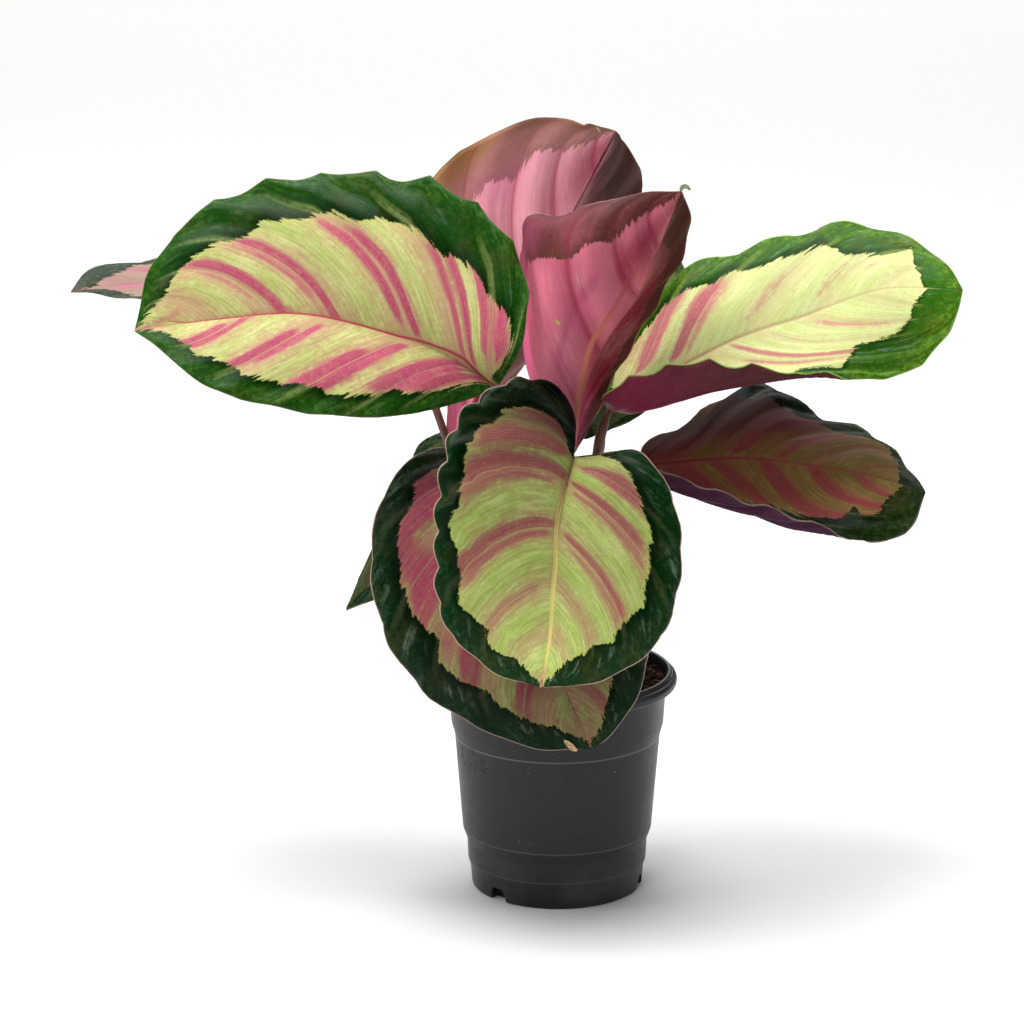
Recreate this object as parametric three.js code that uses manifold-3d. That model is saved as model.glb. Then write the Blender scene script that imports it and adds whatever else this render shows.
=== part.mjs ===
// Potted rosy calathea: a black nursery pot, peat, and ten painted leaves on their stems.
// Millimetres, +Z up. The origin is the centre of the pot's flat base, and -Y is the front.
// Each leaf is a thin blade between a midrib and two margins, on a stem that stands in the peat.

import * as THREE from 'three';
import { mergeVertices } from 'three/addons/utils/BufferGeometryUtils.js';
import Module from 'manifold-3d';

const wasm = await Module();
wasm.setup();

// Pot: a standard 12 cm thermoformed nursery pot
const POT_SEGMENTS = 48;
const POT_WALL = 1.3;
const POT_FLOOR = 2.2;
const POT_RIM_RADIUS = 60;
const POT_HEIGHT = 113;
const COLLAR_TOP_RADIUS = 54.5;
const COLLAR_TOP = 104.4;
const COLLAR_FOOT_RADIUS = 53.3;
const COLLAR_FOOT = 86;
const BODY_TOP_RADIUS = 51.6;
const BODY_TOP = 80;
const BODY_FOOT_RADIUS = 47.6;
const BODY_FOOT = 30.5;
const PLINTH_TOP_RADIUS = 45.4;
const PLINTH_TOP = 24.5;
const PLINTH_FOOT_RADIUS = 45;
const PLINTH_FOOT = 14;
const FOOT_RADIUS = 43.9;
const FOOT_TOP = 11;
const BASE_RADIUS = 42;
const BASE_ROUNDING = 1;

// The rolled rim's section from the collar round to the inner lip, in from the rim's radius and down
// from the pot's top: an outer bead, a groove, and a thin lip.
const RIM_SECTION = [
  [1.3, 8], [0.2, 6.6], [0, 4.4], [0.8, 2.6], [2, 2.2], [2.6, 0.7], [3.5, 0], [4.7, 0.4], [5.4, 2.2],
];

// Drain notches round the foot
const NOTCH_COUNT = 3;
const NOTCH_FIRST_ANGLE = -44;
const NOTCH_FOOT_WIDTH = 12.5;
const NOTCH_TOP_WIDTH = 7.2;
const NOTCH_HEIGHT = 7;
const NOTCH_DEPTH = 5;

// Peat
const SOIL_TOP = 109;
const SOIL_DROP_AT_WALL = 1;
const SOIL_LUMP = 1.5;
const SOIL_RINGS = 7;
const SOIL_SEED = 11;

// Room left between pieces that touch
const GAP = 0.32;

// Corners closer than this are one corner
const WELD_DISTANCE = 1e-4;

// Blades
const BLADE_THICKNESS = 0.8;
const ROWS_PER_WAVE = 4;
const FLAT_HALF = [0.07, 0.36, 0.7, 1];
const ROLLED_HALF = [0.07, 0.27, 0.46, 0.64, 0.82, 1];
const RIB_DEPTH = 1.2;
const RIB_SWELL = 0.1;
const RIB_STEP = 0.02;
const LINE_DIVISIONS = 120;
const WAVE_ONSET = 0.7;
const WAVE_FALLOFF = 3;

// Stems
const STEM_SIDES = 8;
const STEM_STEPS = 9;
const STEM_RADIUS = 2;
const STEM_FOOT_RADIUS = 3.2;
const STEM_KNEE_RADIUS = 2.6;
const STEM_END_RADIUS = 1;
const STEM_DEPTH_IN_SOIL = 24;
const STEM_STRAIGHT = 3;
const SHEATH_SHARE = 0.45;
const KNEE_SHARE = 0.9;
const KNEE_SPREAD = 0.06;
const STEM_HOLE_SIDES = 12;

// Leaves. Each has its midrib from base to tip, and its margins to the left and right of it as seen
// on the upper face with the tip away. A rolled half also has a line along its middle. bow is how
// far each flat half arches, as a share of its chord: left, then right. waves is how many there are
// along each margin, waveHeight is their height, and scallop is how far they widen it. foot is where
// the stem leaves the peat, and stem is its way to the blade's base, short of which it ends by
// clearance.
const LEAVES = {
  left_large: {
    rib: [
      [-30, -16, 261], [-58, -18, 279], [-87, -20, 290], [-125, -23, 299], [-164, -26, 297],
      [-205, -30, 292],
    ],
    right: [
      [-17, -27, 288], [-18, -16, 323], [-49, 4, 354], [-92, 14, 361], [-131, 14, 359], [-170, 8, 347],
      [-197, -10, 321],
    ],
    left: [
      [-46, -28, 257], [-77, -46, 254], [-105, -56, 256], [-138, -60, 262], [-169, -56, 271],
      [-194, -40, 287],
    ],
    bow: [0.08, 0.06],
    waves: 8,
    waveHeight: 2,
    scallop: 0.03,
    foot: [-9, -7],
    stem: [[-13, -8, 170], [-23, -11, 235]],
    clearance: 0.8,
  },
  front: {
    rib: [[6, -44, 233], [1, -66, 210], [-3, -80, 181], [-5, -87, 154], [-9, -90, 131]],
    right: [
      [6, -34, 255], [-7, -36, 269], [-25, -48, 271], [-47, -66, 259], [-56, -80, 236], [-59, -88, 194],
      [-55, -92, 164], [-31, -92, 139],
    ],
    left: [
      [21, -46, 235], [36, -54, 239], [48, -62, 230], [57, -70, 208], [57, -80, 179], [46, -86, 151],
      [19, -90, 134],
    ],
    bow: [0.06, 0.06],
    waves: 9,
    waveHeight: 1.8,
    scallop: 0.025,
    foot: [2, -15],
    stem: [[4, -20, 170], [6, -32, 220]],
    clearance: 1,
  },
  front_low: {
    rib: [[-39, -20, 220], [-31, -44, 196], [-17, -60, 166], [-1, -70, 133], [16, -75, 95]],
    right: [
      [-58, -16, 231], [-79, -30, 221], [-90, -44, 197], [-90, -52, 168], [-82, -60, 143],
      [-63, -66, 119], [-38, -70, 104], [-12, -74, 95],
    ],
    left: [
      [-21, -26, 234], [0, -40, 223], [22, -52, 199], [37, -62, 171], [43, -68, 143], [37, -72, 119],
      [24, -75, 101],
    ],
    bow: [0.06, 0.06],
    waves: 8,
    waveHeight: 1.6,
    scallop: 0.02,
    foot: [-16, -15],
    stem: [[-24, -13, 160], [-35, -11, 206]],
    clearance: 1.3,
  },
  back_tall: {
    rib: [[-52, 24, 213], [-40, 30, 246], [-28, 36, 274], [-9, 44, 307], [11, 49, 342], [29, 50, 376]],
    right: [
      [-55, 26, 229], [-56, 36, 250], [-67, 46, 296], [-65, 56, 349], [-43, 60, 367], [-16, 60, 380],
      [13, 54, 380],
    ],
    left: [[-40, 40, 226], [-24, 64, 242], [2, 86, 272], [30, 98, 309], [44, 92, 338], [39, 74, 358]],
    bow: [0.08, 0.08],
    waves: 6,
    waveHeight: 1.6,
    scallop: 0.015,
    foot: [-11, 8],
    stem: [[-18, 11, 160], [-42, 20, 200]],
    clearance: 0.8,
  },
  centre_furled: {
    rib: [[7, 0, 223], [9, -8, 250], [20, -14, 279], [39, -16, 310], [50, -14, 336], [59, -10, 357]],
    right: [
      [-6, 14, 235], [-15, 24, 260], [-16, 28, 295], [-17, 14, 337], [5, -8, 346], [35, -14, 356],
    ],
    rightMiddle: [
      [7, 0, 223], [-3, -12, 249], [-6, -24, 284], [3, -32, 322], [24, -26, 343], [59, -10, 357],
    ],
    left: [[15, 4, 234], [27, 8, 259], [49, 14, 297], [62, 14, 323], [64, 4, 343]],
    bow: [0.1, 0],
    waves: 6,
    waveHeight: 1.4,
    scallop: 0.012,
    foot: [0, 0],
    stem: [[1, 1, 150], [5, 2, 205]],
    clearance: 0.8,
  },
  right_high: {
    rib: [
      [25, 6, 244], [40, 8, 256], [62, 8, 267], [89, 6, 281], [120, 0, 293], [158, -8, 308],
      [196, -14, 309],
    ],
    left: [
      [26, 28, 258], [41, 44, 286], [61, 48, 305], [91, 44, 317], [120, 38, 327], [144, 32, 333],
      [170, 18, 329], [188, 0, 320],
    ],
    right: [
      [22, -12, 256], [39, -26, 270], [68, -32, 278], [97, -34, 275], [126, -32, 271], [150, -30, 268],
      [169, -28, 271], [184, -24, 283], [193, -18, 297],
    ],
    rightMiddle: [
      [25, 6, 244], [40, -14, 248], [69, -20, 258], [100, -22, 266], [127, -22, 275], [156, -20, 288],
      [196, -14, 309],
    ],
    bow: [0.08, 0],
    waves: 7,
    waveHeight: 1.8,
    scallop: 0.02,
    foot: [11, -5],
    stem: [[12, -4, 170], [20, 0, 228]],
    clearance: 0.9,
  },
  right_low: {
    rib: [[43, 10, 215], [70, 6, 219], [95, 2, 221], [119, -2, 219], [149, -10, 216], [180, -20, 209]],
    left: [
      [42, 22, 221], [67, 38, 231], [87, 48, 243], [110, 50, 246], [128, 44, 234], [159, 26, 226],
      [172, 4, 217],
    ],
    right: [
      [47, 2, 216], [69, -20, 213], [93, -30, 207], [113, -36, 202], [137, -38, 193], [154, -38, 188],
      [172, -32, 194],
    ],
    rightMiddle: [
      [43, 10, 215], [53, -4, 208], [70, -12, 204], [94, -20, 200], [118, -26, 195], [147, -28, 202],
      [180, -20, 209],
    ],
    bow: [0.08, 0],
    waves: 7,
    waveHeight: 1.8,
    scallop: 0.025,
    foot: [15, 6],
    stem: [[20, 8, 150], [36, 11, 196]],
    clearance: 1.1,
  },
  far_left: {
    rib: [[-74, 46, 262], [-110, 62, 276], [-156, 70, 288], [-201, 68, 295], [-245, 58, 293]],
    right: [[-70, 62, 262], [-111, 94, 284], [-158, 104, 299], [-203, 100, 301], [-238, 80, 299]],
    left: [[-82, 30, 254], [-113, 24, 263], [-153, 24, 282], [-196, 34, 291], [-227, 46, 294]],
    bow: [0.06, 0.06],
    waves: 6,
    waveHeight: 1.6,
    scallop: 0.02,
    foot: [-20, -1],
    stem: [[-33, 1, 170], [-54, 14, 224], [-68, 40, 255]],
    clearance: 1.6,
  },
  back: {
    rib: [[24, 62, 219], [34, 84, 241], [46, 106, 268], [56, 124, 288], [62, 136, 301]],
    right: [[45, 70, 228], [62, 88, 251], [69, 106, 272], [67, 124, 290]],
    left: [[12, 65, 215], [5, 80, 232], [12, 112, 267], [36, 130, 294]],
    bow: [0.08, 0.08],
    waves: 5,
    waveHeight: 1.6,
    scallop: 0.02,
    foot: [4, 14],
    stem: [[8, 30, 150], [18, 47, 200], [21, 52, 210]],
    clearance: 1,
  },
  back_low: {
    rib: [[-44, 44, 220], [-61, 48, 203], [-80, 50, 180], [-96, 44, 154], [-107, 30, 134]],
    right: [
      [-55, 52, 223], [-67, 60, 215], [-79, 66, 197], [-89, 64, 174], [-94, 56, 158], [-101, 42, 145],
    ],
    left: [[-45, 36, 206], [-59, 24, 183], [-75, 20, 161], [-91, 22, 143]],
    bow: [0.08, 0.08],
    waves: 5,
    waveHeight: 1.4,
    scallop: 0.02,
    foot: [-20, 14],
    stem: [[-28, 34, 150], [-37, 52, 204]],
    clearance: 1.8,
  },
};

const material = (color, roughness) => new THREE.MeshStandardMaterial({ color, roughness });

// Joins equal corners and drops the empty triangles that a lathe leaves on its axis.
function weld(geometry) {
  const bare = geometry.clone();
  bare.deleteAttribute('normal');
  bare.deleteAttribute('uv');
  const merged = mergeVertices(bare, WELD_DISTANCE);
  const kept = [];
  const index = merged.index.array;
  for (let i = 0; i < index.length; i += 3) {
    const [a, b, c] = index.slice(i, i + 3);
    if (a !== b && b !== c && c !== a) kept.push(a, b, c);
  }
  merged.setIndex(kept);
  return merged;
}

function toSolid(geometry) {
  const merged = weld(geometry);
  const vertProperties = new Float32Array(merged.attributes.position.array);
  const triVerts = new Uint32Array(merged.index.array);
  return new wasm.Manifold(new wasm.Mesh({ numProp: 3, vertProperties, triVerts }));
}

function fromSolid(solid) {
  const mesh = solid.getMesh();
  const geometry = new THREE.BufferGeometry();
  geometry.setAttribute('position', new THREE.BufferAttribute(new Float32Array(mesh.vertProperties), 3));
  geometry.setIndex(Array.from(mesh.triVerts));
  return geometry;
}

// A smooth line through a few points, read by its share of the length.
function lineThrough(points) {
  const corners = points.map((p) => new THREE.Vector3(...p));
  const curve = new THREE.CatmullRomCurve3(corners, false, 'centripetal');
  curve.arcLengthDivisions = LINE_DIVISIONS;
  return (share) => curve.getPointAt(THREE.MathUtils.clamp(share, 0, 1));
}

// Pot
function potGeometry() {
  const outside = [
    [0, 0], [BASE_RADIUS, 0], [BASE_RADIUS + BASE_ROUNDING, BASE_ROUNDING], [FOOT_RADIUS, FOOT_TOP],
    [PLINTH_FOOT_RADIUS, PLINTH_FOOT], [PLINTH_TOP_RADIUS, PLINTH_TOP], [BODY_FOOT_RADIUS, BODY_FOOT],
    [BODY_TOP_RADIUS, BODY_TOP], [COLLAR_FOOT_RADIUS, COLLAR_FOOT], [COLLAR_TOP_RADIUS, COLLAR_TOP],
  ];
  const rim = RIM_SECTION.map(([inward, down]) => [POT_RIM_RADIUS - inward, POT_HEIGHT - down]);
  const inside = [
    [COLLAR_TOP_RADIUS - POT_WALL, COLLAR_TOP], [COLLAR_FOOT_RADIUS - POT_WALL, COLLAR_FOOT],
    [BODY_TOP_RADIUS - POT_WALL, BODY_TOP], [BODY_FOOT_RADIUS - POT_WALL, BODY_FOOT],
    [PLINTH_TOP_RADIUS - POT_WALL, PLINTH_TOP], [BASE_RADIUS - POT_WALL, POT_FLOOR], [0, POT_FLOOR],
  ];
  const profile = [...outside, ...rim, ...inside];
  const shell = new THREE.LatheGeometry(profile.map((p) => new THREE.Vector2(...p)), POT_SEGMENTS);
  shell.rotateX(Math.PI / 2);
  let solid = toSolid(shell);
  for (let i = 0; i < NOTCH_COUNT; i += 1) {
    const angle = THREE.MathUtils.degToRad(NOTCH_FIRST_ANGLE + (360 / NOTCH_COUNT) * i);
    solid = solid.subtract(toSolid(notchGeometry(angle)));
  }
  return fromSolid(solid);
}

// A notch: a prism with a trapezoid face, cut in through the foot of the wall.
function notchGeometry(angle) {
  const low = NOTCH_FOOT_WIDTH / 2;
  const high = NOTCH_TOP_WIDTH / 2;
  const outline = new THREE.Shape([
    new THREE.Vector2(-low, -NOTCH_HEIGHT), new THREE.Vector2(low, -NOTCH_HEIGHT),
    new THREE.Vector2(low, 0), new THREE.Vector2(high, NOTCH_HEIGHT),
    new THREE.Vector2(-high, NOTCH_HEIGHT), new THREE.Vector2(-low, 0),
  ]);
  const cut = new THREE.ExtrudeGeometry(outline, { depth: 2 * NOTCH_DEPTH, bevelEnabled: false });
  cut.rotateX(Math.PI / 2);
  cut.translate(0, NOTCH_DEPTH - BASE_RADIUS, 0);
  cut.rotateZ(angle);
  return cut;
}

// Peat: fills the pot to just under the rim, with a lumpy top and a plain hole for each stem
function soilGeometry(holes) {
  const draw = seededDraw(SOIL_SEED);
  const inset = POT_WALL + GAP;
  const wallTop = SOIL_TOP - SOIL_DROP_AT_WALL;
  const [lipInward, lipDown] = RIM_SECTION[RIM_SECTION.length - 1];
  const wallShare = (wallTop - COLLAR_TOP) / (POT_HEIGHT - lipDown - COLLAR_TOP);
  const collarInside = COLLAR_TOP_RADIUS - POT_WALL;
  const lipInside = POT_RIM_RADIUS - lipInward;
  const wallRadius = THREE.MathUtils.lerp(collarInside, lipInside, wallShare) - 2 * GAP;
  const bottom = POT_FLOOR + 2 * GAP;
  const profile = [
    [0, bottom], [BASE_RADIUS - inset - GAP, bottom], [PLINTH_TOP_RADIUS - inset, PLINTH_TOP],
    [BODY_FOOT_RADIUS - inset - GAP, BODY_FOOT], [BODY_TOP_RADIUS - inset, BODY_TOP],
    [COLLAR_FOOT_RADIUS - inset - GAP, COLLAR_FOOT], [collarInside - 2 * GAP, COLLAR_TOP],
    [wallRadius, wallTop],
  ];
  for (let ring = SOIL_RINGS - 1; ring >= 0; ring -= 1) {
    const share = ring / SOIL_RINGS;
    profile.push([wallRadius * share, SOIL_TOP - SOIL_DROP_AT_WALL * share * share]);
  }
  const body = weld(new THREE.LatheGeometry(profile.map((p) => new THREE.Vector2(...p)), POT_SEGMENTS));
  const position = body.attributes.position;
  for (let i = 0; i < position.count; i += 1) {
    const radius = Math.hypot(position.getX(i), position.getZ(i));
    const onTop = position.getY(i) > wallTop - GAP && radius < wallRadius - GAP;
    if (onTop) position.setY(i, position.getY(i) + (2 * draw() - 1) * SOIL_LUMP);
  }
  body.rotateX(Math.PI / 2);
  let solid = toSolid(body);
  const holeRadius = (STEM_FOOT_RADIUS + GAP) / Math.cos(Math.PI / STEM_HOLE_SIDES);
  const holeLength = 2 * (STEM_DEPTH_IN_SOIL + GAP);
  for (const [x, y] of holes) {
    const hole = new THREE.CylinderGeometry(holeRadius, holeRadius, holeLength, STEM_HOLE_SIDES);
    hole.rotateX(Math.PI / 2);
    hole.translate(x, y, SOIL_TOP);
    solid = solid.subtract(toSolid(hole));
  }
  return fromSolid(solid);
}

// The same even draws between 0 and 1 every time.
function seededDraw(seed) {
  const modulus = 2 ** 31 - 1;
  let state = seed;
  return () => {
    state = (state * 7 ** 5) % modulus;
    return state / modulus;
  };
}

// One half of a blade: a curved strip from the midrib, over its middle line, to the margin.
function halfOf(leaf, side) {
  const base = leaf.rib[0];
  const tip = leaf.rib[leaf.rib.length - 1];
  const margin = lineThrough([base, ...leaf[side], tip]);
  const rib = lineThrough(leaf.rib);
  const drawnMiddle = leaf[`${side}Middle`];
  if (drawnMiddle) return { rib, margin, middle: lineThrough(drawnMiddle), steps: ROLLED_HALF };
  const arch = leaf.bow[side === 'left' ? 0 : 1];
  const middle = (share) => {
    const start = rib(share);
    const chord = margin(share).sub(start);
    const along = rib(share + RIB_STEP).sub(rib(share - RIB_STEP));
    const up = new THREE.Vector3().crossVectors(chord, along).normalize();
    if (side === 'left') up.negate();
    return start.addScaledVector(chord, 0.5).addScaledVector(up, arch * chord.length());
  };
  return { rib, margin, middle, steps: FLAT_HALF };
}

// A point of the blade. along runs from 0 at the base to 1 at the tip, and across from -1 at the
// left margin to 1 at the right. The margin is scalloped in step with its waves.
function bladePoint(leaf, halves, along, across) {
  const half = across < 0 ? halves.left : halves.right;
  const out = Math.abs(across);
  const frill = Math.cos(2 * Math.PI * leaf.waves * along) * Math.sin(Math.PI * along);
  const reach = out * (1 + leaf.scallop * out * out * frill);
  const start = half.rib(along);
  const middle = half.middle(along);
  const edge = half.margin(along);
  return start.multiplyScalar((1 - reach) * (1 - 2 * reach))
    .addScaledVector(middle, 4 * reach * (1 - reach))
    .addScaledVector(edge, reach * (2 * reach - 1));
}

// How far the margin's waves lift the blade off its smooth form. The two sides wave in turn.
function waveLift(leaf, along, across) {
  const phase = across < 0 ? 0.5 : 0;
  const envelope = Math.sin(Math.PI * along) ** WAVE_ONSET * Math.abs(across) ** WAVE_FALLOFF;
  return leaf.waveHeight * envelope * Math.sin(2 * Math.PI * (leaf.waves * along + phase));
}

// Depth of the raised midrib under the blade. It swells just past the base and fades to the tip.
function ribDepth(along, across) {
  return across === 0 ? RIB_DEPTH * Math.min(1, along / RIB_SWELL) * (1 - along) : 0;
}

// A closed thin solid. Both faces use the same grid and the same diagonals, so they never cross.
function bladeGeometry(leaf) {
  const halves = { left: halfOf(leaf, 'left'), right: halfOf(leaf, 'right') };
  const columns = [...halves.left.steps.map((s) => -s).reverse(), 0, ...halves.right.steps];
  const width = columns.length;
  const rows = ROWS_PER_WAVE * leaf.waves;
  const places = [[0, 0]];
  for (let row = 1; row < rows; row += 1) {
    for (const across of columns) places.push([row / rows, across]);
  }
  places.push([1, 0]);
  const last = places.length - 1;
  const at = (row, column) => {
    if (row === 0) return 0;
    return row === rows ? last : 1 + (row - 1) * width + column;
  };
  const faces = [];
  for (let row = 0; row < rows; row += 1) {
    for (let column = 0; column + 1 < width; column += 1) {
      const [a, b] = [at(row, column), at(row, column + 1)];
      const [d, c] = [at(row + 1, column), at(row + 1, column + 1)];
      if (a !== b) faces.push([a, b, c]);
      if (c !== d) faces.push([a, c, d]);
    }
  }
  const sheet = new THREE.BufferGeometry();
  const points = places.map(([along, across]) => bladePoint(leaf, halves, along, across));
  sheet.setFromPoints(points);
  sheet.setIndex(faces.flat());
  sheet.computeVertexNormals();
  const normalAt = (i) => new THREE.Vector3().fromBufferAttribute(sheet.attributes.normal, i);
  const lifted = points.map((p, i) => {
    return p.clone().addScaledVector(normalAt(i), waveLift(leaf, ...places[i]));
  });
  sheet.setFromPoints(lifted);
  sheet.computeVertexNormals();

  const top = lifted.map((p, i) => p.clone().addScaledVector(normalAt(i), BLADE_THICKNESS / 2));
  const under = lifted.map((p, i) => {
    const depth = BLADE_THICKNESS / 2 + ribDepth(...places[i]);
    return p.clone().addScaledVector(normalAt(i), -depth);
  });
  const count = places.length;
  const index = faces.flat();
  for (const [a, b, c] of faces) index.push(a + count, c + count, b + count);
  const wall = (a, b) => index.push(b, a, a + count, b, a + count, b + count);
  for (let row = 0; row < rows; row += 1) {
    wall(at(row + 1, 0), at(row, 0));
    wall(at(row, width - 1), at(row + 1, width - 1));
  }
  const solid = new THREE.BufferGeometry();
  solid.setFromPoints([...top, ...under]);
  solid.setIndex(index);
  return solid;
}

// A stem: straight down into the peat, then up a smooth line to just short of the blade's base
function stemGeometry(leaf) {
  const [x, y] = leaf.foot;
  const buried = new THREE.Vector3(x, y, SOIL_TOP - STEM_DEPTH_IN_SOIL);
  const collar = new THREE.Vector3(x, y, SOIL_TOP + STEM_STRAIGHT);
  const base = new THREE.Vector3(...leaf.rib[0]);
  const before = new THREE.Vector3(...leaf.stem[leaf.stem.length - 1]);
  const end = base.clone().addScaledVector(base.clone().sub(before).normalize(), -leaf.clearance);
  const path = [collar, ...leaf.stem.map((p) => new THREE.Vector3(...p)), end];
  const curve = new THREE.CatmullRomCurve3(path, false, 'centripetal');
  const rings = [{ centre: buried, along: new THREE.Vector3(0, 0, 1), radius: STEM_FOOT_RADIUS }];
  for (let step = 0; step <= STEM_STEPS; step += 1) {
    const share = step / STEM_STEPS;
    const along = step === 0 ? new THREE.Vector3(0, 0, 1) : curve.getTangentAt(share);
    rings.push({ centre: curve.getPointAt(share), along, radius: stemRadius(share) });
  }
  return tubeGeometry(rings, STEM_SIDES);
}

// Sheathed and thick at the foot, thin along its length, with a swollen knee under the blade.
function stemRadius(share) {
  if (share === 1) return STEM_END_RADIUS;
  const sheath = Math.max(0, 1 - share / SHEATH_SHARE);
  const knee = Math.exp(-(((share - KNEE_SHARE) / KNEE_SPREAD) ** 2));
  return STEM_RADIUS + (STEM_FOOT_RADIUS - STEM_RADIUS) * sheath + (STEM_KNEE_RADIUS - STEM_RADIUS) * knee;
}

// A closed tube through a list of rings, with flat ends.
function tubeGeometry(rings, sides) {
  const points = [];
  let side = new THREE.Vector3(1, 0, 0);
  for (const { centre, along, radius } of rings) {
    side = side.clone().addScaledVector(along, -side.dot(along)).normalize();
    const other = new THREE.Vector3().crossVectors(along, side);
    for (let i = 0; i < sides; i += 1) {
      const angle = (2 * Math.PI * i) / sides;
      points.push(centre.clone().addScaledVector(side, radius * Math.cos(angle))
        .addScaledVector(other, radius * Math.sin(angle)));
    }
  }
  const index = [];
  for (let ring = 0; ring + 1 < rings.length; ring += 1) {
    for (let i = 0; i < sides; i += 1) {
      const a = ring * sides + i;
      const b = ring * sides + ((i + 1) % sides);
      index.push(a, b, b + sides, a, b + sides, a + sides);
    }
  }
  const top = (rings.length - 1) * sides;
  for (let i = 1; i + 1 < sides; i += 1) {
    index.push(0, i + 1, i);
    index.push(top, top + i, top + i + 1);
  }
  const tube = new THREE.BufferGeometry();
  tube.setFromPoints(points);
  tube.setIndex(index);
  return tube;
}

const plant = new THREE.Group();

function addPiece(name, geometry, look) {
  const mesh = new THREE.Mesh(geometry, look);
  mesh.name = name;
  plant.add(mesh);
}

addPiece('pot', potGeometry(), material(0x2f3335, 0.42));
addPiece('soil', soilGeometry(Object.values(LEAVES).map((leaf) => leaf.foot)), material(0x2a1a10, 0.95));
for (const [name, leaf] of Object.entries(LEAVES)) {
  addPiece(`leaf_${name}`, bladeGeometry(leaf), material(0xb9c26a, 0.35));
  addPiece(`stem_${name}`, stemGeometry(leaf), material(0x6a3a2c, 0.45));
}

export default plant;
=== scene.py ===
import math
import random
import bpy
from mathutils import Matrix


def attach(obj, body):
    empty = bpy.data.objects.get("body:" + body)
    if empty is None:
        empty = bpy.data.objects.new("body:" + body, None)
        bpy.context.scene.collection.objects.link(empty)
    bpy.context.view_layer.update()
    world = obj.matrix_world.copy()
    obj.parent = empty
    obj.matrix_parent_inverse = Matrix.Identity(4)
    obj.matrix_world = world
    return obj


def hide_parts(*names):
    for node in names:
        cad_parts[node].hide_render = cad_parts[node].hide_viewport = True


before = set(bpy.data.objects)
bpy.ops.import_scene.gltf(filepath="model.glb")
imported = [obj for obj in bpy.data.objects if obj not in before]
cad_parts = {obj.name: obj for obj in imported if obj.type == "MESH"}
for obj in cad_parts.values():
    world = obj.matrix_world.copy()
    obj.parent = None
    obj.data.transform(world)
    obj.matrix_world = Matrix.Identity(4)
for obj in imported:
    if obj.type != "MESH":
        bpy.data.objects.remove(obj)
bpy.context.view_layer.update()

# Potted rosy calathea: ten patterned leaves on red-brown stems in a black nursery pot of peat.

from types import SimpleNamespace

import bmesh
import bpy
import numpy as np
from bpy.props import FloatProperty, FloatVectorProperty, IntProperty, PointerProperty
from bpy.types import Operator, Panel, PropertyGroup
from mathutils import Matrix, Vector, noise

bl_info = {
    "name": "Potted Rosy Calathea",
    "version": (1, 0, 0),
    "blender": (4, 5, 0),
    "location": "View3D > Sidebar > Calathea",
    "description": "Builds a potted rosy calathea around its solid parts",
    "category": "Object",
}

MM = 0.001
BODY = "root"

# What a leaf has unless it says otherwise. Two values are for its left and its right half.
#   bow, lean                   how far a flat half arches, how far its side veins slant to the tip
#   wave_height                 height of the waves along the margin, in millimetres
#   scallop, frills, cusp       depth of the scallops, their number, -1 where they turn outwards
#   tears                       side, place along, depth and size of each tear in the margin
#   veins                       where the main side veins leave the midrib
#   pleats, arches              how the blade and its pattern's edge swell between the side veins
#   rib_width, rib_end          width of the midrib, and how far its paint reaches into the tip
#   dusty, lines, teeth         rose dust and thin lines in the middle, teeth at the pattern's edge
#   ridge_reflections, painted_glints, painted_side_light  painted reflections on the vein ridges and painted glints
#   in the band, painted light and shade on the vein's flanks
#   stains, spots               underside patches: across, along, their sizes, colour, (amount)
PLAIN_LEAF = dict(
    bow=0.08, lean=0.4, wave_height=1.6, scallop=0.02, cusp=1, tears=(),
    veins=([0.08 + 0.2 * i for i in range(5)],) * 2, pleats=1, arches=0.01, rib_width=1, rib_end=0.1,
    dusty=0.5, lines=1, teeth=0.8, ridge_reflections=0.3, painted_glints=0.2, painted_side_light=0.04, stains=(), spots=())

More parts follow.
